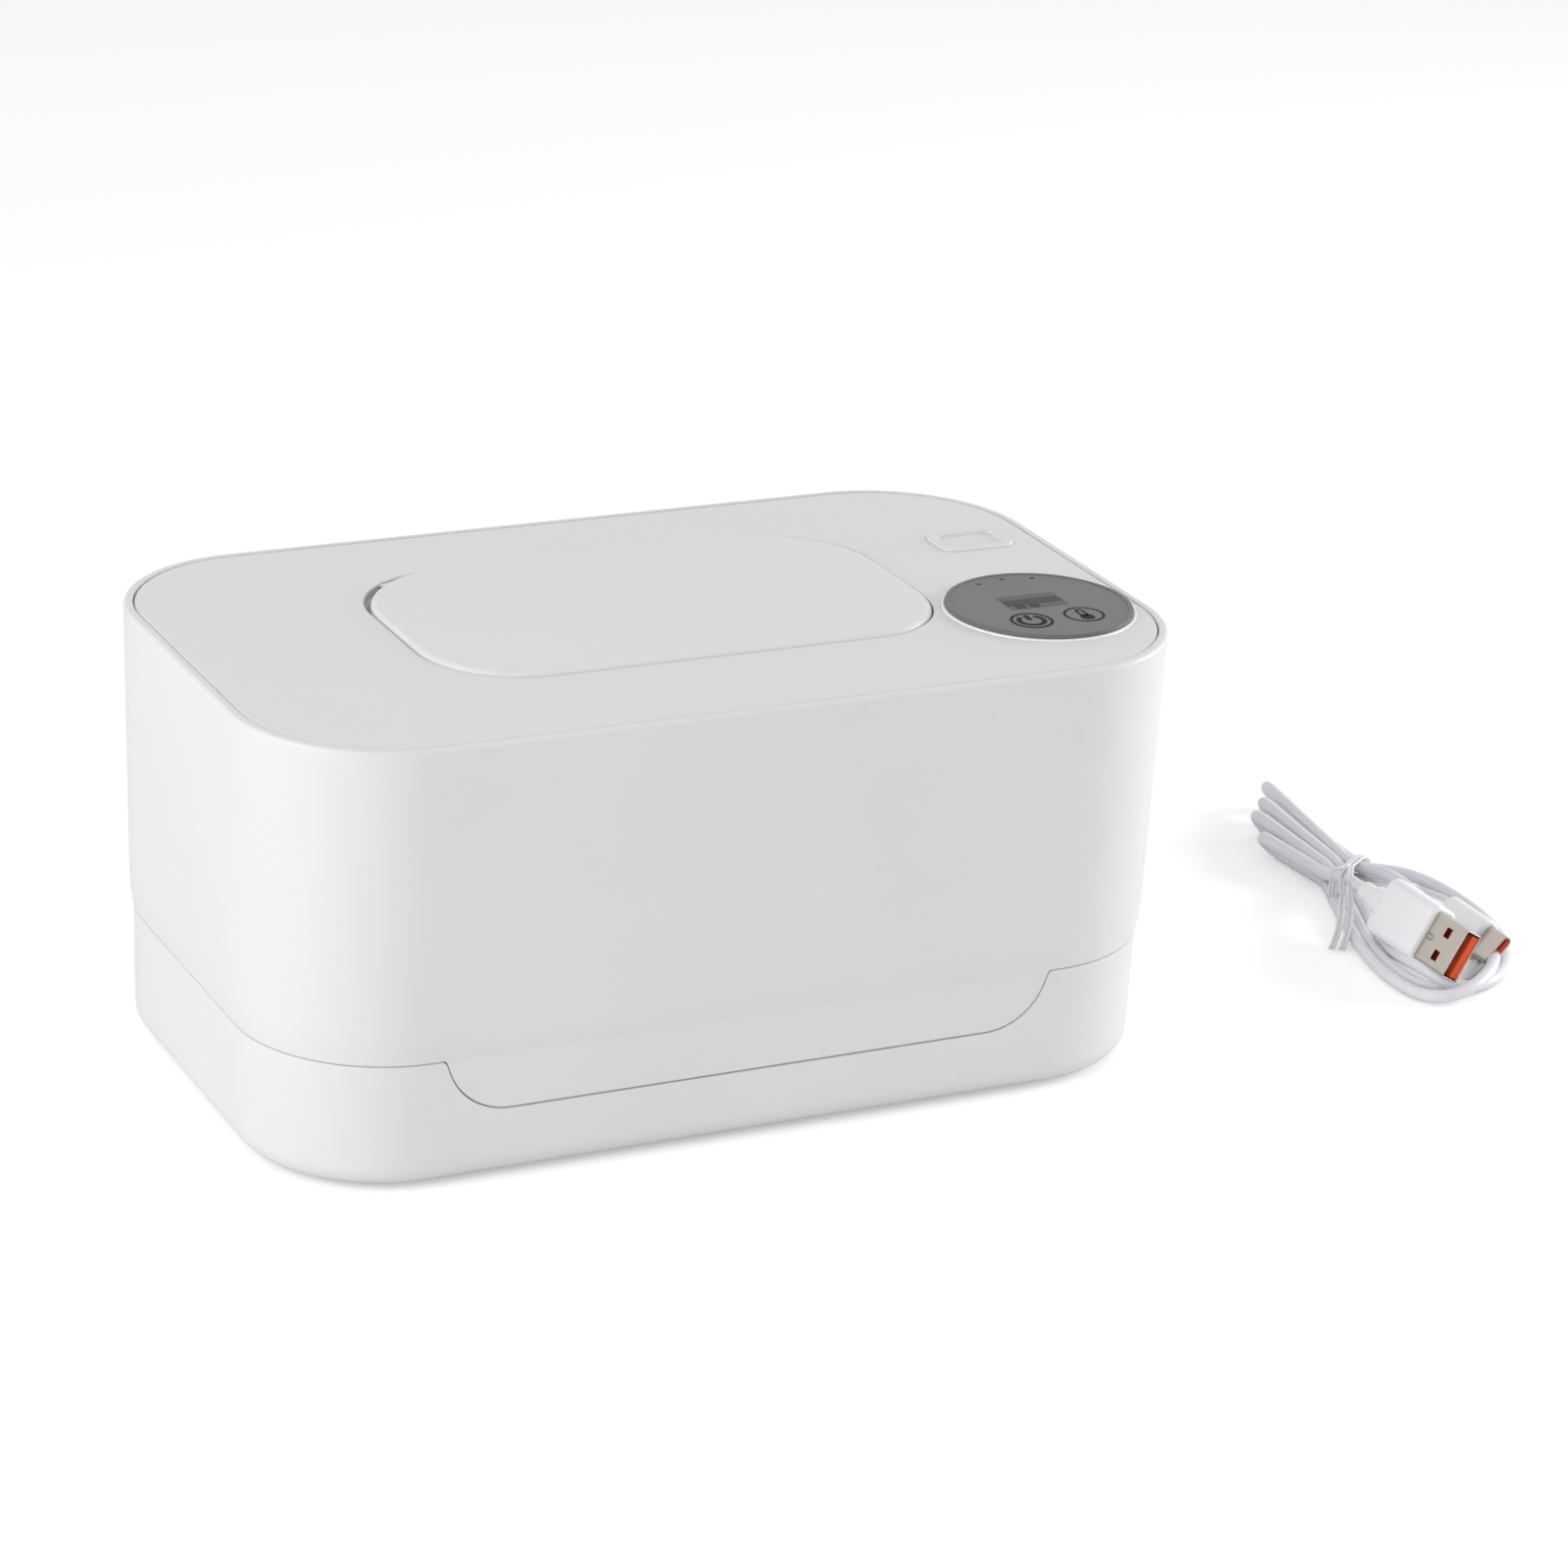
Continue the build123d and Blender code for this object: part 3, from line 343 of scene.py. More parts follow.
# The shell, cover and flap finishes lighten their edges strongly: a painted highlight along the
# rounded edges of the rim and the flap.
SHELL = Finish("shell_white", "white_shell", WHITE, roughness=0.42, grain_size=0.00035,
               relief=0.000005, wear_and_highlight=0.9, edge=0.0005)
COVER = Finish("cover_white", "white_cover", WHITE, roughness=0.46, grain_size=0.0004,
               relief=0.000007, wear_and_highlight=0.9, edge=0.0005)
FLAP = Finish("flap_white", "white_flap", WHITE, roughness=0.40, grain_size=0.0004,
              relief=0.000005, wear_and_highlight=1.0, edge=0.0006)
TRAY = Finish("tray_natural", "white_tray", (0.74, 0.75, 0.76), roughness=0.5,
              grain_size=0.0006, scatter=0.1)
LINER = Finish("liner_white", "white_liner", (0.76, 0.76, 0.77), roughness=0.5, grain_size=0.0005)
SILICONE = Finish("silicone_clear", "silicone", (0.68, 0.69, 0.70), roughness=0.55,
                  grain=Grain.SOFT, grain_size=0.001, relief=0.00001, scatter=0.2)
FOOT = Finish("foot_rubber", "foot_rubber", (0.46, 0.47, 0.48), roughness=0.75,
              grain=Grain.SOFT, grain_size=0.0008, relief=0.00002)
PIN = Finish("pin_steel", "pin_steel", (0.56, 0.56, 0.57), roughness=0.28, metallic=1.0,
             grain=Grain.BRUSHED, relief=0.000003)
MAGNET = Finish("magnet_nickel", "magnet", (0.60, 0.60, 0.61), roughness=0.22, metallic=1.0,
                grain=Grain.SOFT, grain_size=0.002)
HEATER = Finish("heater_aluminium", "heater_aluminium", (0.74, 0.74, 0.75), roughness=0.35,
                metallic=1.0, grain=Grain.BRUSHED, grain_size=0.0004)
FILM = Finish("heater_film", "heater_film", (0.50, 0.24, 0.05), roughness=0.3,
              grain=Grain.TRACKS, grain_size=0.003, relief=0.00003, mottle=0.25)
FOAM = Finish("foam_white", "foam", (0.76, 0.76, 0.74), roughness=0.9, grain=Grain.CELLS,
              grain_size=0.0012, relief=0.0003, mottle=0.08)
LATCH = Finish("latch_acetal", "latch_plastic", (0.30, 0.31, 0.32), roughness=0.45)
PANEL = Finish("panel_grey", "panel_grey", (0.172, 0.172, 0.177), roughness=0.42,
               relief=0.000003, wear_and_highlight=0.0, mottle=0.03, shine=0.2)
# The trim ring's lightened edges are a painted highlight.
PANEL_TRIM = Finish("panel_trim", "panel_white", (0.96, 0.96, 0.965), roughness=0.3, wear_and_highlight=0.6)
BOARD = Finish("board_green", "board_green", (0.03, 0.18, 0.08), roughness=0.35,
               grain=Grain.TRACKS, grain_size=0.0012, relief=0.00002, mottle=0.3)
CHIP = Finish("chip_black", "chip_black", (0.03, 0.03, 0.032), roughness=0.55)
DISPLAY = Finish("display_black", "display_black", (0.02, 0.02, 0.022), roughness=0.2)
ACRYLIC = Finish("acrylic_clear", "light_guide", (0.75, 0.77, 0.80), roughness=0.25,
                 grain=Grain.SOFT, see_through=0.5)
BRONZE = Finish("spring_bronze", "copper_spring", (0.70, 0.52, 0.30), roughness=0.3,
                metallic=1.0, grain=Grain.BRUSHED)
WIRE = Finish("wire_red", "wire_red", (0.45, 0.03, 0.03), roughness=0.45, grain=Grain.SOFT)
BEAD = Finish("epoxy_bead", "sensor", (0.04, 0.04, 0.04), roughness=0.4)
SCREW = Finish("screw_zinc", "screw_steel", (0.56, 0.56, 0.57), roughness=0.32, metallic=1.0,
               grain=Grain.BRUSHED)
PORT = Finish("port_steel", "port_steel", (0.58, 0.58, 0.59), roughness=0.3, metallic=1.0,
              grain=Grain.BRUSHED)
JACKET = Finish("cable_jacket", "cable_white", (0.80, 0.80, 0.845), roughness=0.34,
                grain=Grain.SOFT, grain_size=0.0015, relief=0.000006, scatter=0.08)
# The plug's white is lifted above the jacket's: partly its own whiter plastic, partly painted
# light that makes up for the housing's shadow on the plugs. Its lightened edges are a painted
# highlight.
PLUG = Finish("plug_white", "cable_white", (0.94, 0.94, 0.955), roughness=0.36,
              grain=Grain.SOFT, grain_size=0.0012, relief=0.000006, wear_and_highlight=0.5, edge=0.0005)
TIE = Finish("tie_coating", "tie_white", (0.80, 0.80, 0.83), roughness=0.5, grain=Grain.SOFT,
             grain_size=0.001)
NICKEL = Finish("plug_nickel", "plug_shell", (0.50, 0.465, 0.42), roughness=0.32, metallic=1.0,
                grain=Grain.BRUSHED, mottle=0.05)
ORANGE = Finish("plug_insulator", "plug_insert", (0.80, 0.085, 0.012), roughness=0.42)
INK_DARK = Finish("print_dark", "display_black", (0.018, 0.018, 0.019), roughness=0.6,
                  wear_and_highlight=0.0, mottle=0.1, shine=0.08)
INK_SMOKE = Finish("print_smoke", "display_black", (0.105, 0.105, 0.108), roughness=0.4,
                   wear_and_highlight=0.0, shine=0.15)
INK_BAND = Finish("print_band", "display_black", (0.045, 0.045, 0.047), roughness=0.4,
                  wear_and_highlight=0.0, shine=0.12)


# ---------------------------------------------------------------- mesh tools
def mm(*values: float) -> Vector:
    """A point given in millimetres."""
    return Vector(values) * MM


def add_piece(name: str, data: bpy.types.Mesh | bpy.types.Curve,
              finish: Finish) -> bpy.types.Object:
    """Puts a mesh or a curve into the scene as a dressed piece.

    Args:
        name: the piece's name.
        data: its geometry.
        finish: its surface.

    Returns:
        The new object.
    """
    data.materials.append(finish.material())
    piece = bpy.data.objects.new(name, data)
    bpy.context.scene.collection.objects.link(piece)
    return piece


def finish_mesh(name: str, shape: bmesh.types.BMesh, finish: Finish,
                smooth: bool = True) -> bpy.types.Object:
    """Turns a bmesh into a dressed object of the scene.

    Args:
        name: the piece's name.
        shape: its geometry, which is freed.
        finish: its surface.
        smooth: whether its faces shade smoothly.

    Returns:
        The new object.
    """
    bmesh.ops.recalc_face_normals(shape, faces=shape.faces)
    mesh = bpy.data.meshes.new(name)
    shape.to_mesh(mesh)
    shape.free()
    for face in mesh.polygons:
        face.use_smooth = smooth
    return add_piece(name, mesh, finish)


def ride(piece: bpy.types.Object, body: Body) -> None:
    """Fixes a piece to a body and reports it.

    Args:
        piece: the piece, already in place.
        body: the body it moves with.
    """
    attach(piece, body.value)
    log.info("%s rides on %s", piece.name, body.value)


def strip(shape: bmesh.types.BMesh, first: Sequence[bmesh.types.BMVert],
          second: Sequence[bmesh.types.BMVert]) -> None:
    """Joins two rings of as many corners with a closed strip of faces.

    Args:
        shape: the geometry that holds both rings.
        first: corners of one ring, in order.
        second: corners of the other ring, in the same order.
    """
    for i, near in enumerate(first):
        j = (i + 1) % len(first)
        shape.faces.new((near, first[j], second[j], second[i]))


def plate(outline: Sequence[Spot], low: float, high: float,
          hole: Sequence[Spot] | None = None) -> bmesh.types.BMesh:
    """A flat closed plate with straight walls.

    Args:
        outline: its corners in millimetres, in order.
        low: height of its underside in millimetres.
        high: height of its top in millimetres.
        hole: the corners of a hole, as many as the outline has.

    Returns:
        The plate.
    """
    shape = bmesh.new()
    rims = [outline, hole] if hole else [outline]
    rings = [[[shape.verts.new(mm(x, y, z)) for x, y in rim] for z in (low, high)] for rim in rims]
    for bottom, top in rings:
        strip(shape, bottom, top)
    if hole:
        for outer, inner in zip(*rings):
            strip(shape, outer, inner)
    else:
        for ring in rings[0]:
            shape.faces.new(ring)
    return shape


def circle(x: float, y: float, r: float, start: float = 0.0, sweep: float = tau,
           count: int = 64) -> Outline:
    """Points of a circle or an arc.

    Args:
        x: centre.
        y: centre.
        r: radius.
        start: first angle in radians.
        sweep: angle covered.
        count: number of points.

    Returns:
        The points, without the repeated end of a full circle.
    """
    last = count if abs(sweep) >= tau - 1e-6 else count - 1
    angles = [start + sweep * i / last for i in range(count)]
    return [(x + r * cos(angle), y + r * sin(angle)) for angle in angles]


def rounded_box(x: float, y: float, length: float, width: float, r: float,
                count: int = 8) -> Outline:
    """Outline of a rounded rectangle.

    Args:
        x: centre.
        y: centre.
        length: size along X.
        width: size along Y.
        r: corner radius.
        count: points per corner.

    Returns:
        The points, anticlockwise.
    """
    points: Outline = []
    for i, (sx, sy) in enumerate(((1, 1), (-1, 1), (-1, -1), (1, -1))):
        cx, cy = x + sx * (length / 2 - r), y + sy * (width / 2 - r)
        points += circle(cx, cy, r, i * pi / 2, pi / 2, count)
    return points


def wire_piece(name: str, runs: Iterable[tuple[Sequence[Vector], bool]], radius: float,
               finish: Finish, steps: int) -> bpy.types.Object:
    """Makes round wires along smooth paths.

    Args:
        name: the piece's name.
        runs: the control points of each wire in millimetres, and whether it closes on itself.
        radius: the wires' radius in millimetres.
        finish: their surface.
        steps: how finely each part of the path is divided.

    Returns:
        The curve object.
    """
    curve = bpy.data.curves.new(name, "CURVE")
    curve.dimensions = "3D"
    for points, closed in runs:
        spline = curve.splines.new("NURBS")
        spline.points.add(len(points) - 1)
        for knot, point in zip(spline.points, points):
            knot.co = (*(point * MM), 1.0)
        spline.order_u = 3
        spline.use_endpoint_u = not closed
        spline.use_cyclic_u = closed
    curve.resolution_u = steps
    curve.bevel_depth = radius * MM
    curve.bevel_resolution = 5
    curve.use_fill_caps = True
    return add_piece(name, curve, finish)


def dress(nodes: dict[str, Finish]) -> None:
    """Gives carried-over nodes their finishes.

    Args:
        nodes: the finish of each node.
    """
    for name, finish in nodes.items():
        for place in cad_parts[name].material_slots:
            place.material = finish.material()
        log.info("%s dressed in %s", name, finish.name)


# ---------------------------------------------------------------- camera and light
@dataclass(frozen=True)
class Lamp:
    """A square soft lamp.

    Attributes:
        name: its name.
        place: its centre.
        size: its side.
        power: its power in watts.
    """

    name: str
    place: Point
    size: float
    power: float

    def build(self, aim: Point) -> None:
        """Makes the lamp.

        Args:
            aim: the point that it is turned to.
        """
        data = bpy.data.lights.new(self.name, "AREA")
        data.size, data.energy = self.size, self.power
        lamp = bpy.data.objects.new(self.name, data)
        bpy.context.scene.collection.objects.link(lamp)
        lamp.location = self.place
        lamp.rotation_mode = "QUATERNION"
        ray = Vector(aim) - Vector(self.place)
        lamp.rotation_quaternion = ray.to_track_quat("-Z", "Y")


@dataclass
class Studio:
    """Camera, plain soft lamps and white floor.

    Attributes:
        eye: the camera's place.
        right: the camera's X axis.
        up: the camera's Y axis.
        lens: focal length in millimetres on a 36 mm sensor.
        fill: strength of the even light from all round.
        floor_colour: the floor's own white.
        floor_lift: extra white that only the camera sees on the floor.
        floor_reach: radius of the floor.
        floor_drop: how far the floor lies below the table level, clear of the feet.
        aim: the point that the lamps are turned to.
        lamps: the lamps.
    """

    eye: Point = (-0.4244703, -0.9099932, 0.4493482)
    right: Point = (0.90021, -0.43290, 0.04754)
    up: Point = (0.11732, 0.34604, 0.93086)
    lens: float = 115.077
    fill: float = 0.55
    floor_colour: float = 0.90
    floor_lift: float = 0.34
    floor_reach: float = 9.0
    floor_drop: float = 0.0002
    aim: Point = (0.03, 0.0, 0.05)
    lamps: tuple[Lamp, ...] = (Lamp("lamp_left", (-0.95, -0.30, 0.45), 0.9, 6.0),
                               Lamp("lamp_top", (0.15, 0.25, 1.25), 1.1, 0.5),
                               Lamp("lamp_right", (1.1, -0.12, 0.28), 0.5, 7.0))

    def build(self) -> None:
        """Makes the camera, the world, the lamps and the floor."""
        self.make_camera()
        self.make_world()
        for lamp in self.lamps:
            lamp.build(self.aim)
        self.make_floor()

    def make_camera(self) -> None:
        """Makes the camera from its measured axes."""
        data = bpy.data.cameras.new("camera")
        data.lens, data.sensor_width = self.lens, 36.0
        data.clip_start, data.clip_end = 0.02, 50.0
        camera = bpy.data.objects.new("camera", data)
        bpy.context.scene.collection.objects.link(camera)
        right, up = Vector(self.right).normalized(), Vector(self.up).normalized()
        back = right.cross(up).normalized()
        turn = Matrix((right, back.cross(right), back)).transposed()
        camera.matrix_world = Matrix.Translation(self.eye) @ turn.to_4x4()
        bpy.context.scene.camera = camera

    def make_world(self) -> None:
        """Makes an even grey light that looks white wherever it is seen or mirrored."""
        world = bpy.data.worlds.new("room")
        bpy.context.scene.world = world
        world.use_nodes = True
        tree = world.node_tree
        back = tree.nodes["Background"]
        rays = tree.nodes.new("ShaderNodeLightPath")
        seen = rays.outputs["Is Camera Ray"]
        for name in ("Is Glossy Ray", "Is Transmission Ray"):
            most = tree.nodes.new("ShaderNodeMath")
            most.operation = "MAXIMUM"
            tree.links.new(seen, most.inputs[0])
            tree.links.new(rays.outputs[name], most.inputs[1])
            seen = most.outputs[0]
        level = tree.nodes.new("ShaderNodeMapRange")
        level.inputs["To Min"].default_value = self.fill
        level.inputs["To Max"].default_value = 1.0
        tree.links.new(seen, level.inputs["Value"])
        tree.links.new(level.outputs["Result"], back.inputs["Strength"])
        back.inputs["Color"].default_value = (1.0, 1.0, 1.0, 1.0)

    def make_floor(self) -> None:
        """Makes the white floor, which keeps the shadow."""
        shape = bmesh.new()
        bmesh.ops.create_circle(shape, cap_ends=True, segments=96, radius=self.floor_reach)
        mesh = bpy.data.meshes.new("floor")
        shape.to_mesh(mesh)
        shape.free()
        floor = bpy.data.objects.new("floor", mesh)
        floor.location.z = -self.floor_drop
        bpy.context.scene.collection.objects.link(floor)
        recipe = Recipe("floor_white")
        matt = recipe.node("ShaderNodeBsdfDiffuse")
        matt.inputs["Color"].default_value = (*[self.floor_colour] * 3, 1.0)
        light = recipe.node("ShaderNodeEmission")
        rays = recipe.node("ShaderNodeLightPath")
        lift = recipe.node("ShaderNodeMath", operation="MULTIPLY")
        lift.inputs[1].default_value = self.floor_lift
        recipe.link(rays.outputs["Is Camera Ray"], lift.inputs[0])
        recipe.link(lift.outputs[0], light.inputs["Strength"])
        both = recipe.node("ShaderNodeAddShader")
        recipe.link(matt.outputs[0], both.inputs[0])
        recipe.link(light.outputs[0], both.inputs[1])
        recipe.link(both.outputs[0], recipe.output.inputs["Surface"])
        mesh.materials.append(recipe.material)


# ---------------------------------------------------------------- cable
@dataclass
class TopLoop:
    """One flat loop of cable above the tie, in millimetres.

    Attributes:
        tip: the outer end of its fold.
        lean: how far the loop leans towards +X, in degrees.
        left: place along X and height of the left strand at the tie.
        right: place along X and height of the right strand at the tie.
        half: half the fold's width seen from above.
        high: height of the left strand at the fold.
        low: height of the right strand at the fold.
        straight: length of the straight part of each strand before the fold.
        reverse: whether the cable runs from the right strand to the left one.
    """

    tip: Spot
    lean: float
    left: Spot
    right: Spot
    half: float = 1.8
    high: float = 6.5
    low: float = 1.6
    straight: float = 6.0
    reverse: bool = False

    def points(self, tie_y: float) -> list[Vector]:
        """Control points from the tie round the fold and back, in millimetres.

        Args:
            tie_y: where the strands pass the tie.

        Returns:
            The points in the order the cable runs.
        """
        along = Vector((sin(radians(self.lean)), cos(radians(self.lean)), 0))
        across = Vector((along.y, -along.x, 0))
        side = across * self.half + Vector((0, 0, (self.low - self.high) / 2))
        reach = along * side.length
        middle = Vector((*self.tip, (self.low + self.high) / 2)) - reach
        left = Vector((self.left[0], tie_y, self.left[1]))
        right = Vector((self.right[0], tie_y, self.right[1]))
        left_end = middle - side - self.straight * along
        right_end = middle + side - self.straight * along
        path = [left, left.lerp(left_end, 0.3), left.lerp(left_end, 0.65), left_end,
                middle - side + FOLD_HANDLE * reach, middle - FOLD_HANDLE * side + reach,
                middle + FOLD_HANDLE * side + reach, middle + side + FOLD_HANDLE * reach,
                right_end, right_end.lerp(right, 0.35), right_end.lerp(right, 0.7), right]
        return path[::-1] if self.reverse else path


@dataclass
class UsbCable:
    """The white cable in its tied turns, with its twist tie and plugs. Sizes in millimetres.

    Attributes:
        thickness: the cable's diameter.
        tie_y: where the tie pinches the turns.
        lead_in: the cable from the USB-C plug to the tie.
        lead_out: the cable from the tie to the USB-A plug.
        loops: the flat loops above the tie, in the order the cable runs.
        outer: middle line of the outermost strand below the tie.
        inner: middle line of the innermost strand, station by station.
        arcs: for each turn, at each station, its place from outer to inner and its height.
        band: the tie's wrap in its own plane, as places along its slant and heights.
        band_middle: middle of the wrap.
        band_slant: how far the wrap slants, in degrees.
        band_shifts: how far each turn of the wrap lies from the middle one.
        knot: middle of the tie's knot.
        twist_steps: number of points on each twisted strand between the knot and its tail.
        twist_radius: distance of those strands from their common middle line.
        twist_angle: how far they turn from one point to the next, in radians.
        twist_side: the level direction across the twist.
        tails: the tie's two loose ends, from the knot down.
        tail_edge: from one wire of a flat tail to the other.
        wire: radius of the tie's wires.
        plug_mouth: centre of the USB-A plug's mouth.
        plug_roll: how far that plug is turned about its own length, in degrees.
        shell_half: half the thickness of its shell.
        dimple_back: how far behind the mouth the shell's punch mark lies.
        dimple_size: length, width and corner radius of the mark.
        dimple_hole: length, width and corner radius of its hollow.
        dimple_heights: its underside and top, from the shell's face.
    """

    thickness: float = 3.0
    tie_y: float = 19.0
    lead_in: tuple[Point, ...] = (
        (198.6, -12.2, 6.2), (198.8, -6.0, 6.4), (199.2, 1.0, 6.8), (198.8, 9.0, 6.6))
    lead_out: tuple[Point, ...] = (
        (186.4, 12.8, 6.0), (185.2, 5.6, 8.6), (183.8, -0.8, 10.0), (183.3, -6.8, 10.3))
    loops: tuple[TopLoop, ...] = (
        TopLoop((203.4, 69.2), 7.0, (196.6, 4.5), (199.0, 3.9)),
        TopLoop((197.0, 60.2), 5.0, (193.6, 4.6), (195.8, 1.6)),
        TopLoop((190.8, 53.2), 1.0, (190.6, 4.6), (192.6, 1.6)),
        TopLoop((185.6, 41.2), -5.0, (187.6, 4.4), (189.4, 1.6), half=2.1, high=6.0,
                reverse=True),
    )
    outer: tuple[Spot, ...] = (
        (201.6, 14.9), (206.4, 11.6), (210.9, 6.6), (213.7, -1.0), (213.6, -11.4),
        (210.9, -23.4), (205.3, -34.8), (197.4, -44.4), (187.8, -50.0), (179.0, -51.0),
        (173.9, -46.2), (172.9, -34.6), (175.2, -20.6), (179.8, -6.8), (184.0, 5.6))
    inner: tuple[Spot, ...] = (
        (199.0, 12.4), (202.8, 8.2), (205.6, 2.6), (207.3, -4.6), (206.7, -13.2),
        (204.2, -23.6), (199.4, -32.2), (193.0, -38.8), (186.8, -42.9), (182.0, -43.4),
        (179.0, -39.6), (178.8, -31.0), (181.2, -19.0), (185.0, -7.4), (189.2, 4.2))
    arcs: tuple[tuple[Spot, ...], ...] = (
        ((0, 4.6), (0, 4.4), (0, 3.2), (0, 1.8), (0, 1.6), (0, 1.6), (0, 1.6), (0.1, 1.6),
         (0.4, 1.6), (0.7, 3.4), (0.95, 4.9), (1.05, 3.8), (1.05, 1.6), (1.05, 1.6), (1.05, 2.4)),
        ((0.6, 1.6), (0.5, 1.6), (0.5, 1.6), (0.5, 1.6), (0.5, 1.6), (0.6, 1.6), (0.9, 1.6),
         (1, 1.6), (1, 1.6), (0.85, 1.6), (0.6, 1.6), (0.5, 1.6), (0.5, 1.6), (0.5, 1.6),
         (0.5, 2.4)),
        ((1.5, 1.6), (1.1, 1.6), (1, 1.6), (1, 1.6), (1, 2.4), (0.85, 4.2), (0.55, 4.7),
         (0.3, 4.7), (0.05, 4.0), (0, 2.2), (0, 1.6), (0, 1.6), (0, 1.6), (0, 1.6), (0, 1.6)),
    )
    band: tuple[Spot, ...] = (
        (11.0, 0.7), (11.5, 2.4), (10.2, 5.0), (7.0, 6.7), (2.0, 7.0), (-3.0, 7.1), (-6.5, 7.7),
        (-9.4, 9.0), (-11.6, 7.4), (-12.0, 3.0), (-11.0, 0.7), (0.0, 0.6))
    band_middle: Spot = (193.6, 15.8)
    band_slant: float = 38.0
    band_shifts: tuple[float, ...] = (-0.7, 0.05, 1.0)
    knot: Point = (189.8, 11.4, 8.4)
    twist_steps: int = 7
    twist_radius: float = 0.5
    twist_angle: float = 1.5
    twist_side: Point = (0.66, -0.57, 0.0)
    tails: tuple[tuple[Point, ...], ...] = (
        ((186.4, 6.6, 10.4), (182.6, 3.4, 10.4), (180.2, -1.4, 8.0), (176.6, -7.0, 4.6),
         (173.0, -11.4, 2.0), (169.9, -14.4, 0.8)),
        ((186.8, 6.0, 10.9), (183.6, 1.6, 11.6), (181.0, -3.4, 9.2), (178.2, -8.6, 5.6),
         (174.8, -12.8, 2.4), (171.8, -15.8, 0.8)))
    tail_edge: Point = (0.576, -0.552, 0.0)
    wire: float = 0.38
    plug_mouth: Point = (183.3, -47.8, 10.3)
    plug_roll: float = 60.0
    shell_half: float = 2.25
    dimple_back: float = 10.4
    dimple_size: Point = (2.8, 1.5, 0.74)
    dimple_hole: Point = (1.9, 0.7, 0.34)
    dimple_heights: Spot = (-0.02, 0.05)

    def route(self) -> list[Vector]:
        """Control points of the whole cable, in millimetres.

        Returns:
            The points from the USB-C plug to the USB-A plug.
        """
        path = [Vector(point) for point in self.lead_in]
        for turn, loop in enumerate(self.loops):
            path += loop.points(self.tie_y)
            if turn < len(self.arcs):
                for far, near, (share, height) in zip(self.outer, self.inner, self.arcs[turn]):
                    path.append(Vector((*far, height)).lerp(Vector((*near, height)), share))
        return path + [Vector(point) for point in self.lead_out]

    def build(self) -> None:
        """Makes the cord and the tie, and dresses the plugs."""
        cord = self.make_cord()
        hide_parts("cable_hank", "cable_lead_a", "cable_lead_c")
        ride(cord, Body.CABLE)
        dress({"usb_a_overmould": PLUG, "usb_a_shell": NICKEL, "usb_a_insert": ORANGE,
               "usb_c_overmould": PLUG, "usb_c_shell": NICKEL, "usb_c_insert": ORANGE})
        tie = self.make_tie()
        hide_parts("cable_tie")
        ride(tie, Body.CABLE)
        ride(self.make_dimple(), Body.CABLE)

    def make_dimple(self) -> bpy.types.Object:
        """Makes the small oval punch mark on the face of the USB-A plug's shell.

        Returns:
            The mark, standing a hair proud of the face.
        """
        roll = radians(self.plug_roll)
        face, back = Vector((-sin(roll), 0, cos(roll))), Vector((0, 1, 0))
        width = back.cross(face)
        middle = mm(*self.plug_mouth) + (face * self.shell_half + back * self.dimple_back) * MM
        mark = plate(rounded_box(0, 0, *self.dimple_size), *self.dimple_heights,
                     rounded_box(0, 0, *self.dimple_hole))
        for corner in mark.verts:
            along, across, lift = corner.co
            corner.co = middle - back * along + width * across + face * lift
        return finish_mesh("plug_punch_mark", mark, NICKEL)

    def make_cord(self) -> bpy.types.Object:
        """Makes the cable as one smooth tube.

        Returns:
            The curve object.
        """
        return wire_piece("usb_cord", [(self.route(), False)], self.thickness / 2, JACKET, 8)

    def make_tie(self) -> bpy.types.Object:
        """Makes the twist tie: slanting wraps, a twisted knot on top and two flat tails.

        Returns:
            The tie.
        """
        runs = [(self.wrap(shift), True) for shift in self.band_shifts]
        knot, edge = Vector(self.knot), Vector(self.tail_edge)
        side = Vector(self.twist_side) * self.twist_radius
        rise = Vector((0, 0, self.twist_radius))
        for number, tail in enumerate(self.tails):
            path = [Vector(point) for point in tail]
            twist: list[Vector] = []
            for i in range(self.twist_steps):
                angle = pi * number + self.twist_angle * i
                middle = knot.lerp(path[0], i / self.twist_steps)
                twist.append(middle + side * cos(angle) + rise * sin(angle))
            runs += [(twist + path, False), ([point + edge for point in path], False)]
        return wire_piece("twist_tie", runs, self.wire, TIE, 6)

    def wrap(self, shift: float) -> list[Vector]:
        """One closed wrap of the tie round the bundle.

        Args:
            shift: how far it lies from the wrap's middle line, in millimetres.

        Returns:
            Its points in millimetres.
        """
        slant = radians(self.band_slant)
        along = Vector((cos(slant), sin(slant), 0))
        across = Vector((sin(slant), -cos(slant), 0))
        middle = Vector((*self.band_middle, 0)) + across * shift
        return [middle + along * place + Vector((0, 0, height)) for place, height in self.band]


# ---------------------------------------------------------------- base
@dataclass
class BaseUnit:
    """The shallow base that the housing closes over, with its tray, feet and hinge pins.

    Attributes:
        nodes: the finish of each of its nodes.
    """

    nodes: dict[str, Finish] = field(default_factory=lambda: {
        "base_tray": SHELL, "wipes_tray": TRAY, "base_gasket": SILICONE, "rubber_feet": FOOT,
        "housing_hinge_pins": PIN, "catch_magnet": MAGNET})

    def build(self) -> None:
        """Dresses the base's nodes."""
        dress(self.nodes)


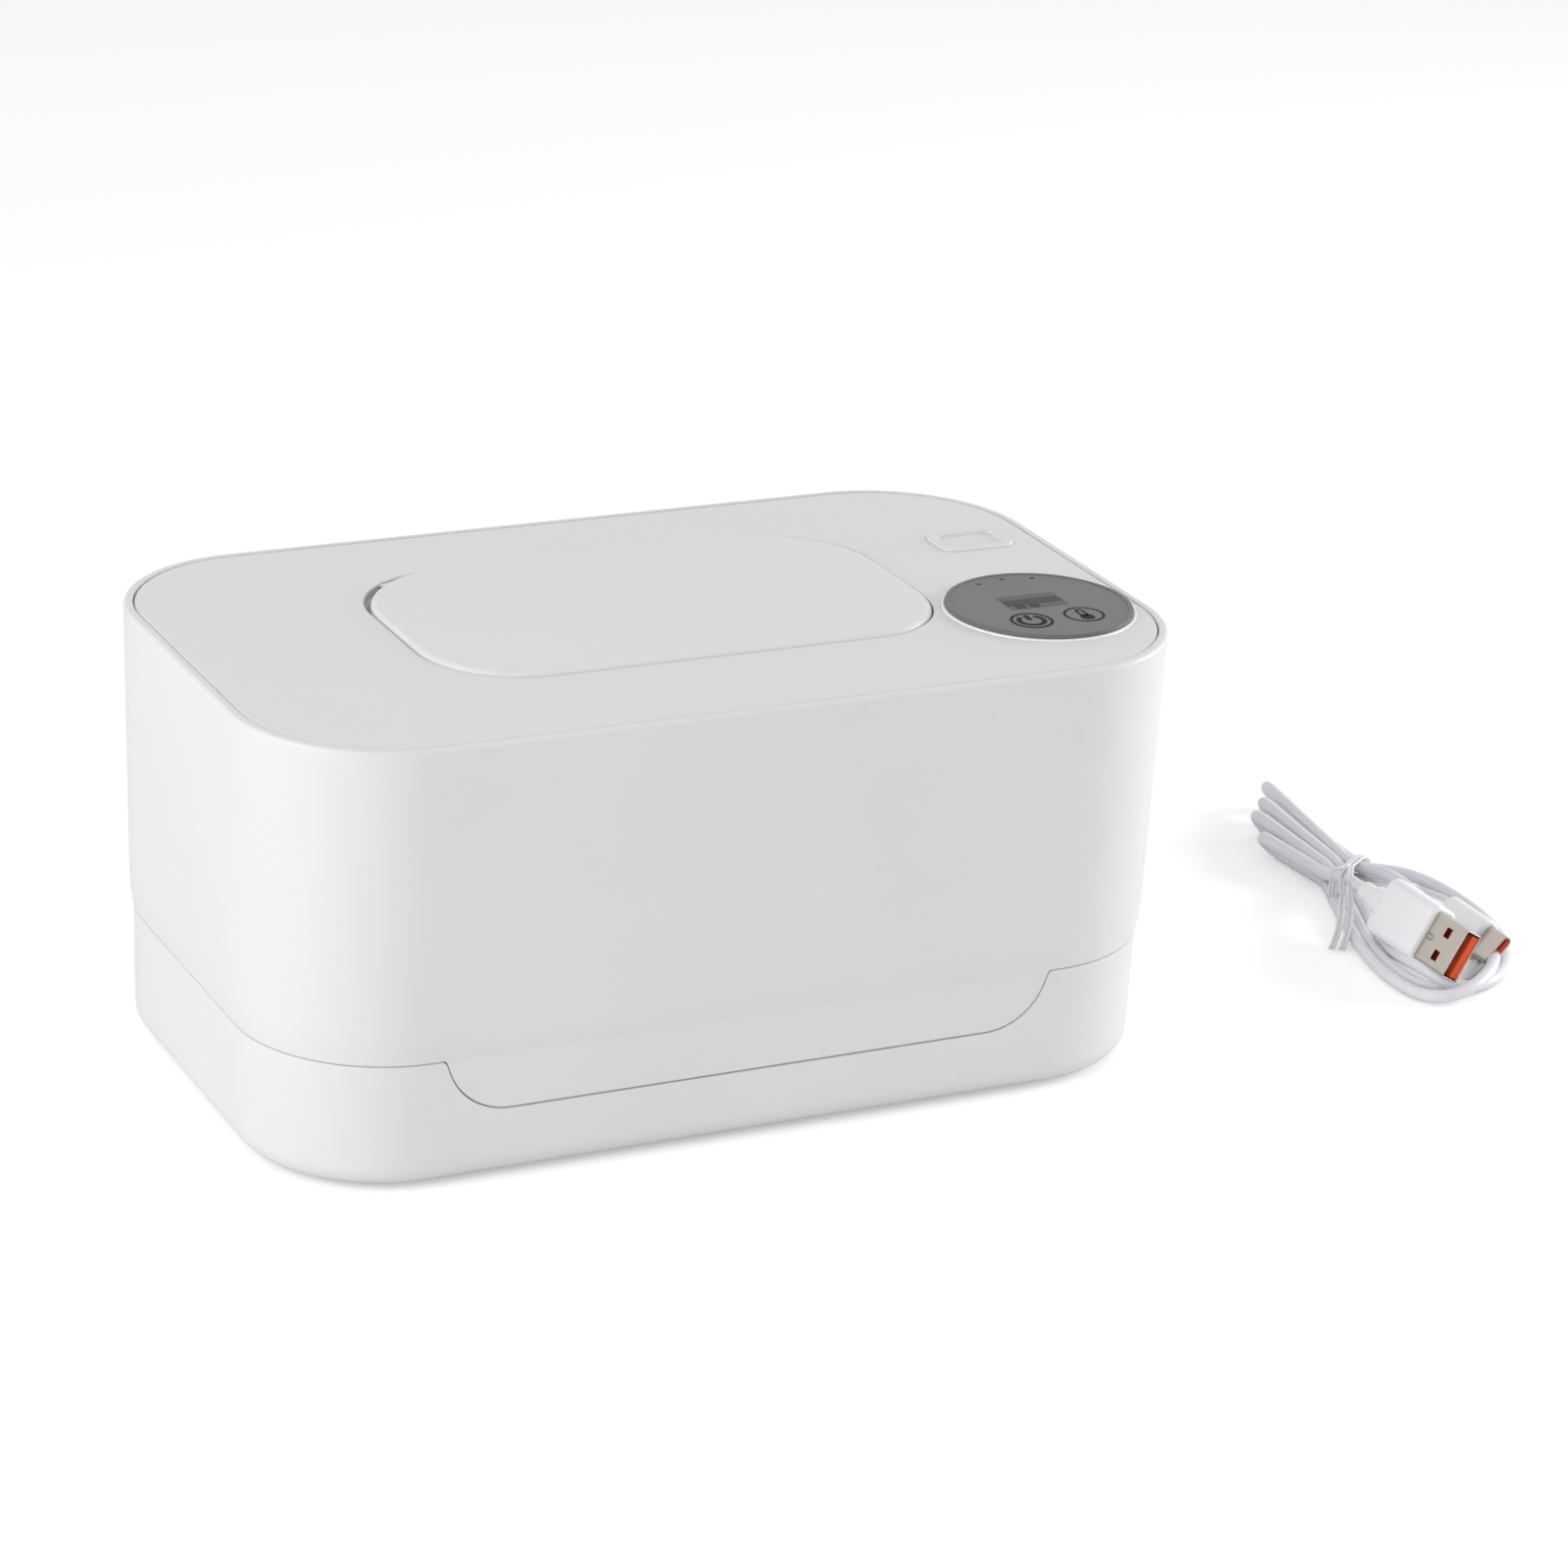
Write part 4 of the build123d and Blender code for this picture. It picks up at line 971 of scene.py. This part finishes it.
# ---------------------------------------------------------------- housing
@dataclass
class Housing:
    """The tall heated housing with its cover, liner, heater, insulation and push latch.

    Attributes:
        nodes: the finish of each of its nodes.
    """

    nodes: dict[str, Finish] = field(default_factory=lambda: {
        "housing_shell": SHELL, "top_cover": COVER, "mouth_frame": COVER,
        "mouth_membrane": SILICONE, "inner_liner": LINER, "strike_plate": PIN,
        "heater_plate": HEATER, "heater_film": FILM, "insulation_pad": FOAM,
        "insulation_wrap": FOAM, "latch_body": LATCH, "latch_plunger": LATCH,
        "blank_badge": COVER, "liner_screws": SCREW})

    def build(self) -> None:
        """Dresses the housing's nodes."""
        dress(self.nodes)


@dataclass
class Flap:
    """The sprung dispensing flap with its seal, pin, spring and steel keeper.

    Attributes:
        nodes: the finish of each of its nodes.
    """

    nodes: dict[str, Finish] = field(default_factory=lambda: {
        "flap_lid": FLAP, "flap_seal": SILICONE, "flap_hinge_pin": PIN, "flap_keeper": PIN,
        "flap_spring": PIN})

    def build(self) -> None:
        """Dresses the flap's nodes."""
        dress(self.nodes)


# ---------------------------------------------------------------- controls
@dataclass
class ControlPanel:
    """The round touch panel with its electronics and prints. Sizes in millimetres.

    Attributes:
        top: height of the printed recess in the disc.
        ink: thickness of the prints.
        bite: how far the prints reach into the disc or the ink below.
        window: centre of the display window.
        window_size: its length, width and corner radius.
        band: length, width and corner radius of the dark band in it.
        digits: places of the two digits, from the window's centre.
        bars: place, length and width of a digit's bars, from its centre.
        bar_round: corner radius of the bars.
        power: centre of the power key.
        power_ring: outer and inner radius of its ring.
        power_arc: outer and inner radius of the broken ring in it.
        power_gap: half the opening of the broken ring, in degrees.
        power_bar: height of the upright bar's middle, its width, length and corner radius.
        heat: centre of the temperature key.
        heat_ring: outer and inner radius of its ring.
        tube_rise: height of the thermometer's tube above the key's centre.
        tube: width, length and corner radius of the tube.
        tube_bore: width, length and corner radius of its bore.
        bulb_drop: how far the bulb lies below the key's centre.
        bulb: radius of the bulb.
        lamps: centres of the three lamp dots.
        dot: radius of the dots.
        nodes: the finish of each node of the panel and the electronics.
    """

    top: float = 98.2
    ink: float = 0.04
    bite: float = 0.05
    window: Spot = (80.0, -22.7)
    window_size: Point = (13.8, 8.2, 0.5)
    band: Point = (13.2, 3.28, 0.3)
    digits: tuple[Spot, ...] = ((-4.3, -2.8), (-0.9, -2.8))
    bars: tuple[tuple[float, float, float, float], ...] = (
        (0.0, 0.7, 1.7, 0.4), (0.0, 0.0, 1.7, 0.3), (0.0, -0.7, 1.7, 0.4),
        (-0.95, 0.0, 0.4, 1.5), (0.95, 0.0, 0.4, 1.5))
    bar_round: float = 0.12
    power: Spot = (73.9, -33.9)
    power_ring: Spot = (4.7, 4.05)
    power_arc: Spot = (3.3, 2.2)
    power_gap: float = 34.0
    power_bar: tuple[float, float, float, float] = (1.9, 1.1, 3.2, 0.5)
    heat: Spot = (86.6, -33.9)
    heat_ring: Spot = (4.5, 3.95)
    tube_rise: float = 1.0
    tube: Point = (2.0, 4.4, 0.95)
    tube_bore: Point = (0.9, 3.2, 0.42)
    bulb_drop: float = 1.6
    bulb: float = 1.6
    lamps: tuple[Spot, ...] = ((74.1, -9.3), (80.5, -7.9), (87.2, -9.3))
    dot: float = 0.55
    nodes: dict[str, Finish] = field(default_factory=lambda: {
        "panel_disc": PANEL, "panel_ring": PANEL_TRIM, "control_board": BOARD,
        "board_components": CHIP, "display_module": DISPLAY, "status_lamps": ACRYLIC,
        "light_guide": ACRYLIC, "touch_springs": BRONZE, "port_board": BOARD,
        "usb_c_socket": PORT, "wire_harness": WIRE, "temperature_sensor": BEAD,
        "thermal_fuse": BEAD, "board_screws": SCREW})

    def build(self) -> None:
        """Dresses the electronics and lays the prints on the disc."""
        dress(self.nodes)
        for piece in (*self.make_display(), self.make_power_symbol(), self.make_heat_symbol(),
                      self.make_lamp_dots()):
            ride(piece, Body.HOUSING)

    def layer(self, name: str, shapes: Iterable[Print], finish: Finish,
              level: int = 1) -> bpy.types.Object:
        """Joins several flat shapes into one printed piece.

        Args:
            name: the piece's name.
            shapes: each shape's outline, and its hole or None.
            finish: its ink.
            level: how many inks lie under it, plus one.

        Returns:
            The printed piece.
        """
        low = self.top + self.ink * (level - 1) - self.bite
        joined = bmesh.new()
        for outline, hole in shapes:
            part = plate(outline, low, self.top + self.ink * level, hole)
            mesh = bpy.data.meshes.new("part")
            part.to_mesh(mesh)
            part.free()
            joined.from_mesh(mesh)
            bpy.data.meshes.remove(mesh)
        return finish_mesh(name, joined, finish, smooth=False)

    def make_display(self) -> tuple[bpy.types.Object, ...]:
        """Makes the display: a smoked window, its dark band and two digits below the band.

        Returns:
            The three printed pieces.
        """
        window: list[Print] = [(rounded_box(*self.window, *self.window_size), None)]
        band: list[Print] = [(rounded_box(*self.window, *self.band), None)]
        return (self.layer("panel_window", window, INK_SMOKE),
                self.layer("panel_band", band, INK_BAND, 2),
                self.layer("panel_digits", self.digit_bars(), INK_BAND, 2))

    def digit_bars(self) -> list[Print]:
        """Bars of the two-digit figure, all lit.

        Returns:
            The bars as outlines.
        """
        x, y = self.window
        return [(rounded_box(x + across + dx, y + along + dy, length, width, self.bar_round, 3),
                 None) for across, along in self.digits for dx, dy, length, width in self.bars]

    def make_power_symbol(self) -> bpy.types.Object:
        """Makes the power key's symbol: two rings, the inner one broken by an upright bar.

        Returns:
            The printed symbol.
        """
        x, y = self.power
        gap = radians(self.power_gap)
        start, sweep = pi / 2 + gap, tau - 2 * gap
        outer, inner = self.power_arc
        broken = (circle(x, y, outer, start, sweep, 40)
                  + circle(x, y, inner, start + sweep, -sweep, 40))
        rise, *bar = self.power_bar
        outer, inner = self.power_ring
        shapes: list[Print] = [(circle(x, y, outer), circle(x, y, inner)), (broken, None),
                               (rounded_box(x, y + rise, *bar), None)]
        return self.layer("print_power", shapes, INK_DARK)

    def make_heat_symbol(self) -> bpy.types.Object:
        """Makes the temperature key's symbol: a bold thermometer in a ring.

        Returns:
            The printed symbol.
        """
        x, y = self.heat
        outer, inner = self.heat_ring
        middle = (x, y + self.tube_rise)
        shapes: list[Print] = [(circle(x, y, outer), circle(x, y, inner)),
                               (rounded_box(*middle, *self.tube),
                                rounded_box(*middle, *self.tube_bore)),
                               (circle(x, y - self.bulb_drop, self.bulb), None)]
        return self.layer("print_heat", shapes, INK_DARK)

    def make_lamp_dots(self) -> bpy.types.Object:
        """Makes the three small dots over the lamps.

        Returns:
            The dots as one piece.
        """
        dots: list[Print] = [(circle(x, y, self.dot, count=24), None) for x, y in self.lamps]
        return self.layer("panel_lamp_dots", dots, INK_BAND)


def main() -> None:
    """Builds the studio, then the cable, then the warmer from the base up."""
    logging.basicConfig(level=logging.INFO, format="%(name)s: %(message)s")
    for assembly in (Studio(), UsbCable(), BaseUnit(), Housing(), Flap(), ControlPanel()):
        log.info("building %s", type(assembly).__name__)
        assembly.build()


if __name__ == "__main__":
    bpy.context.scene.view_settings.view_transform = "Standard"
    main()
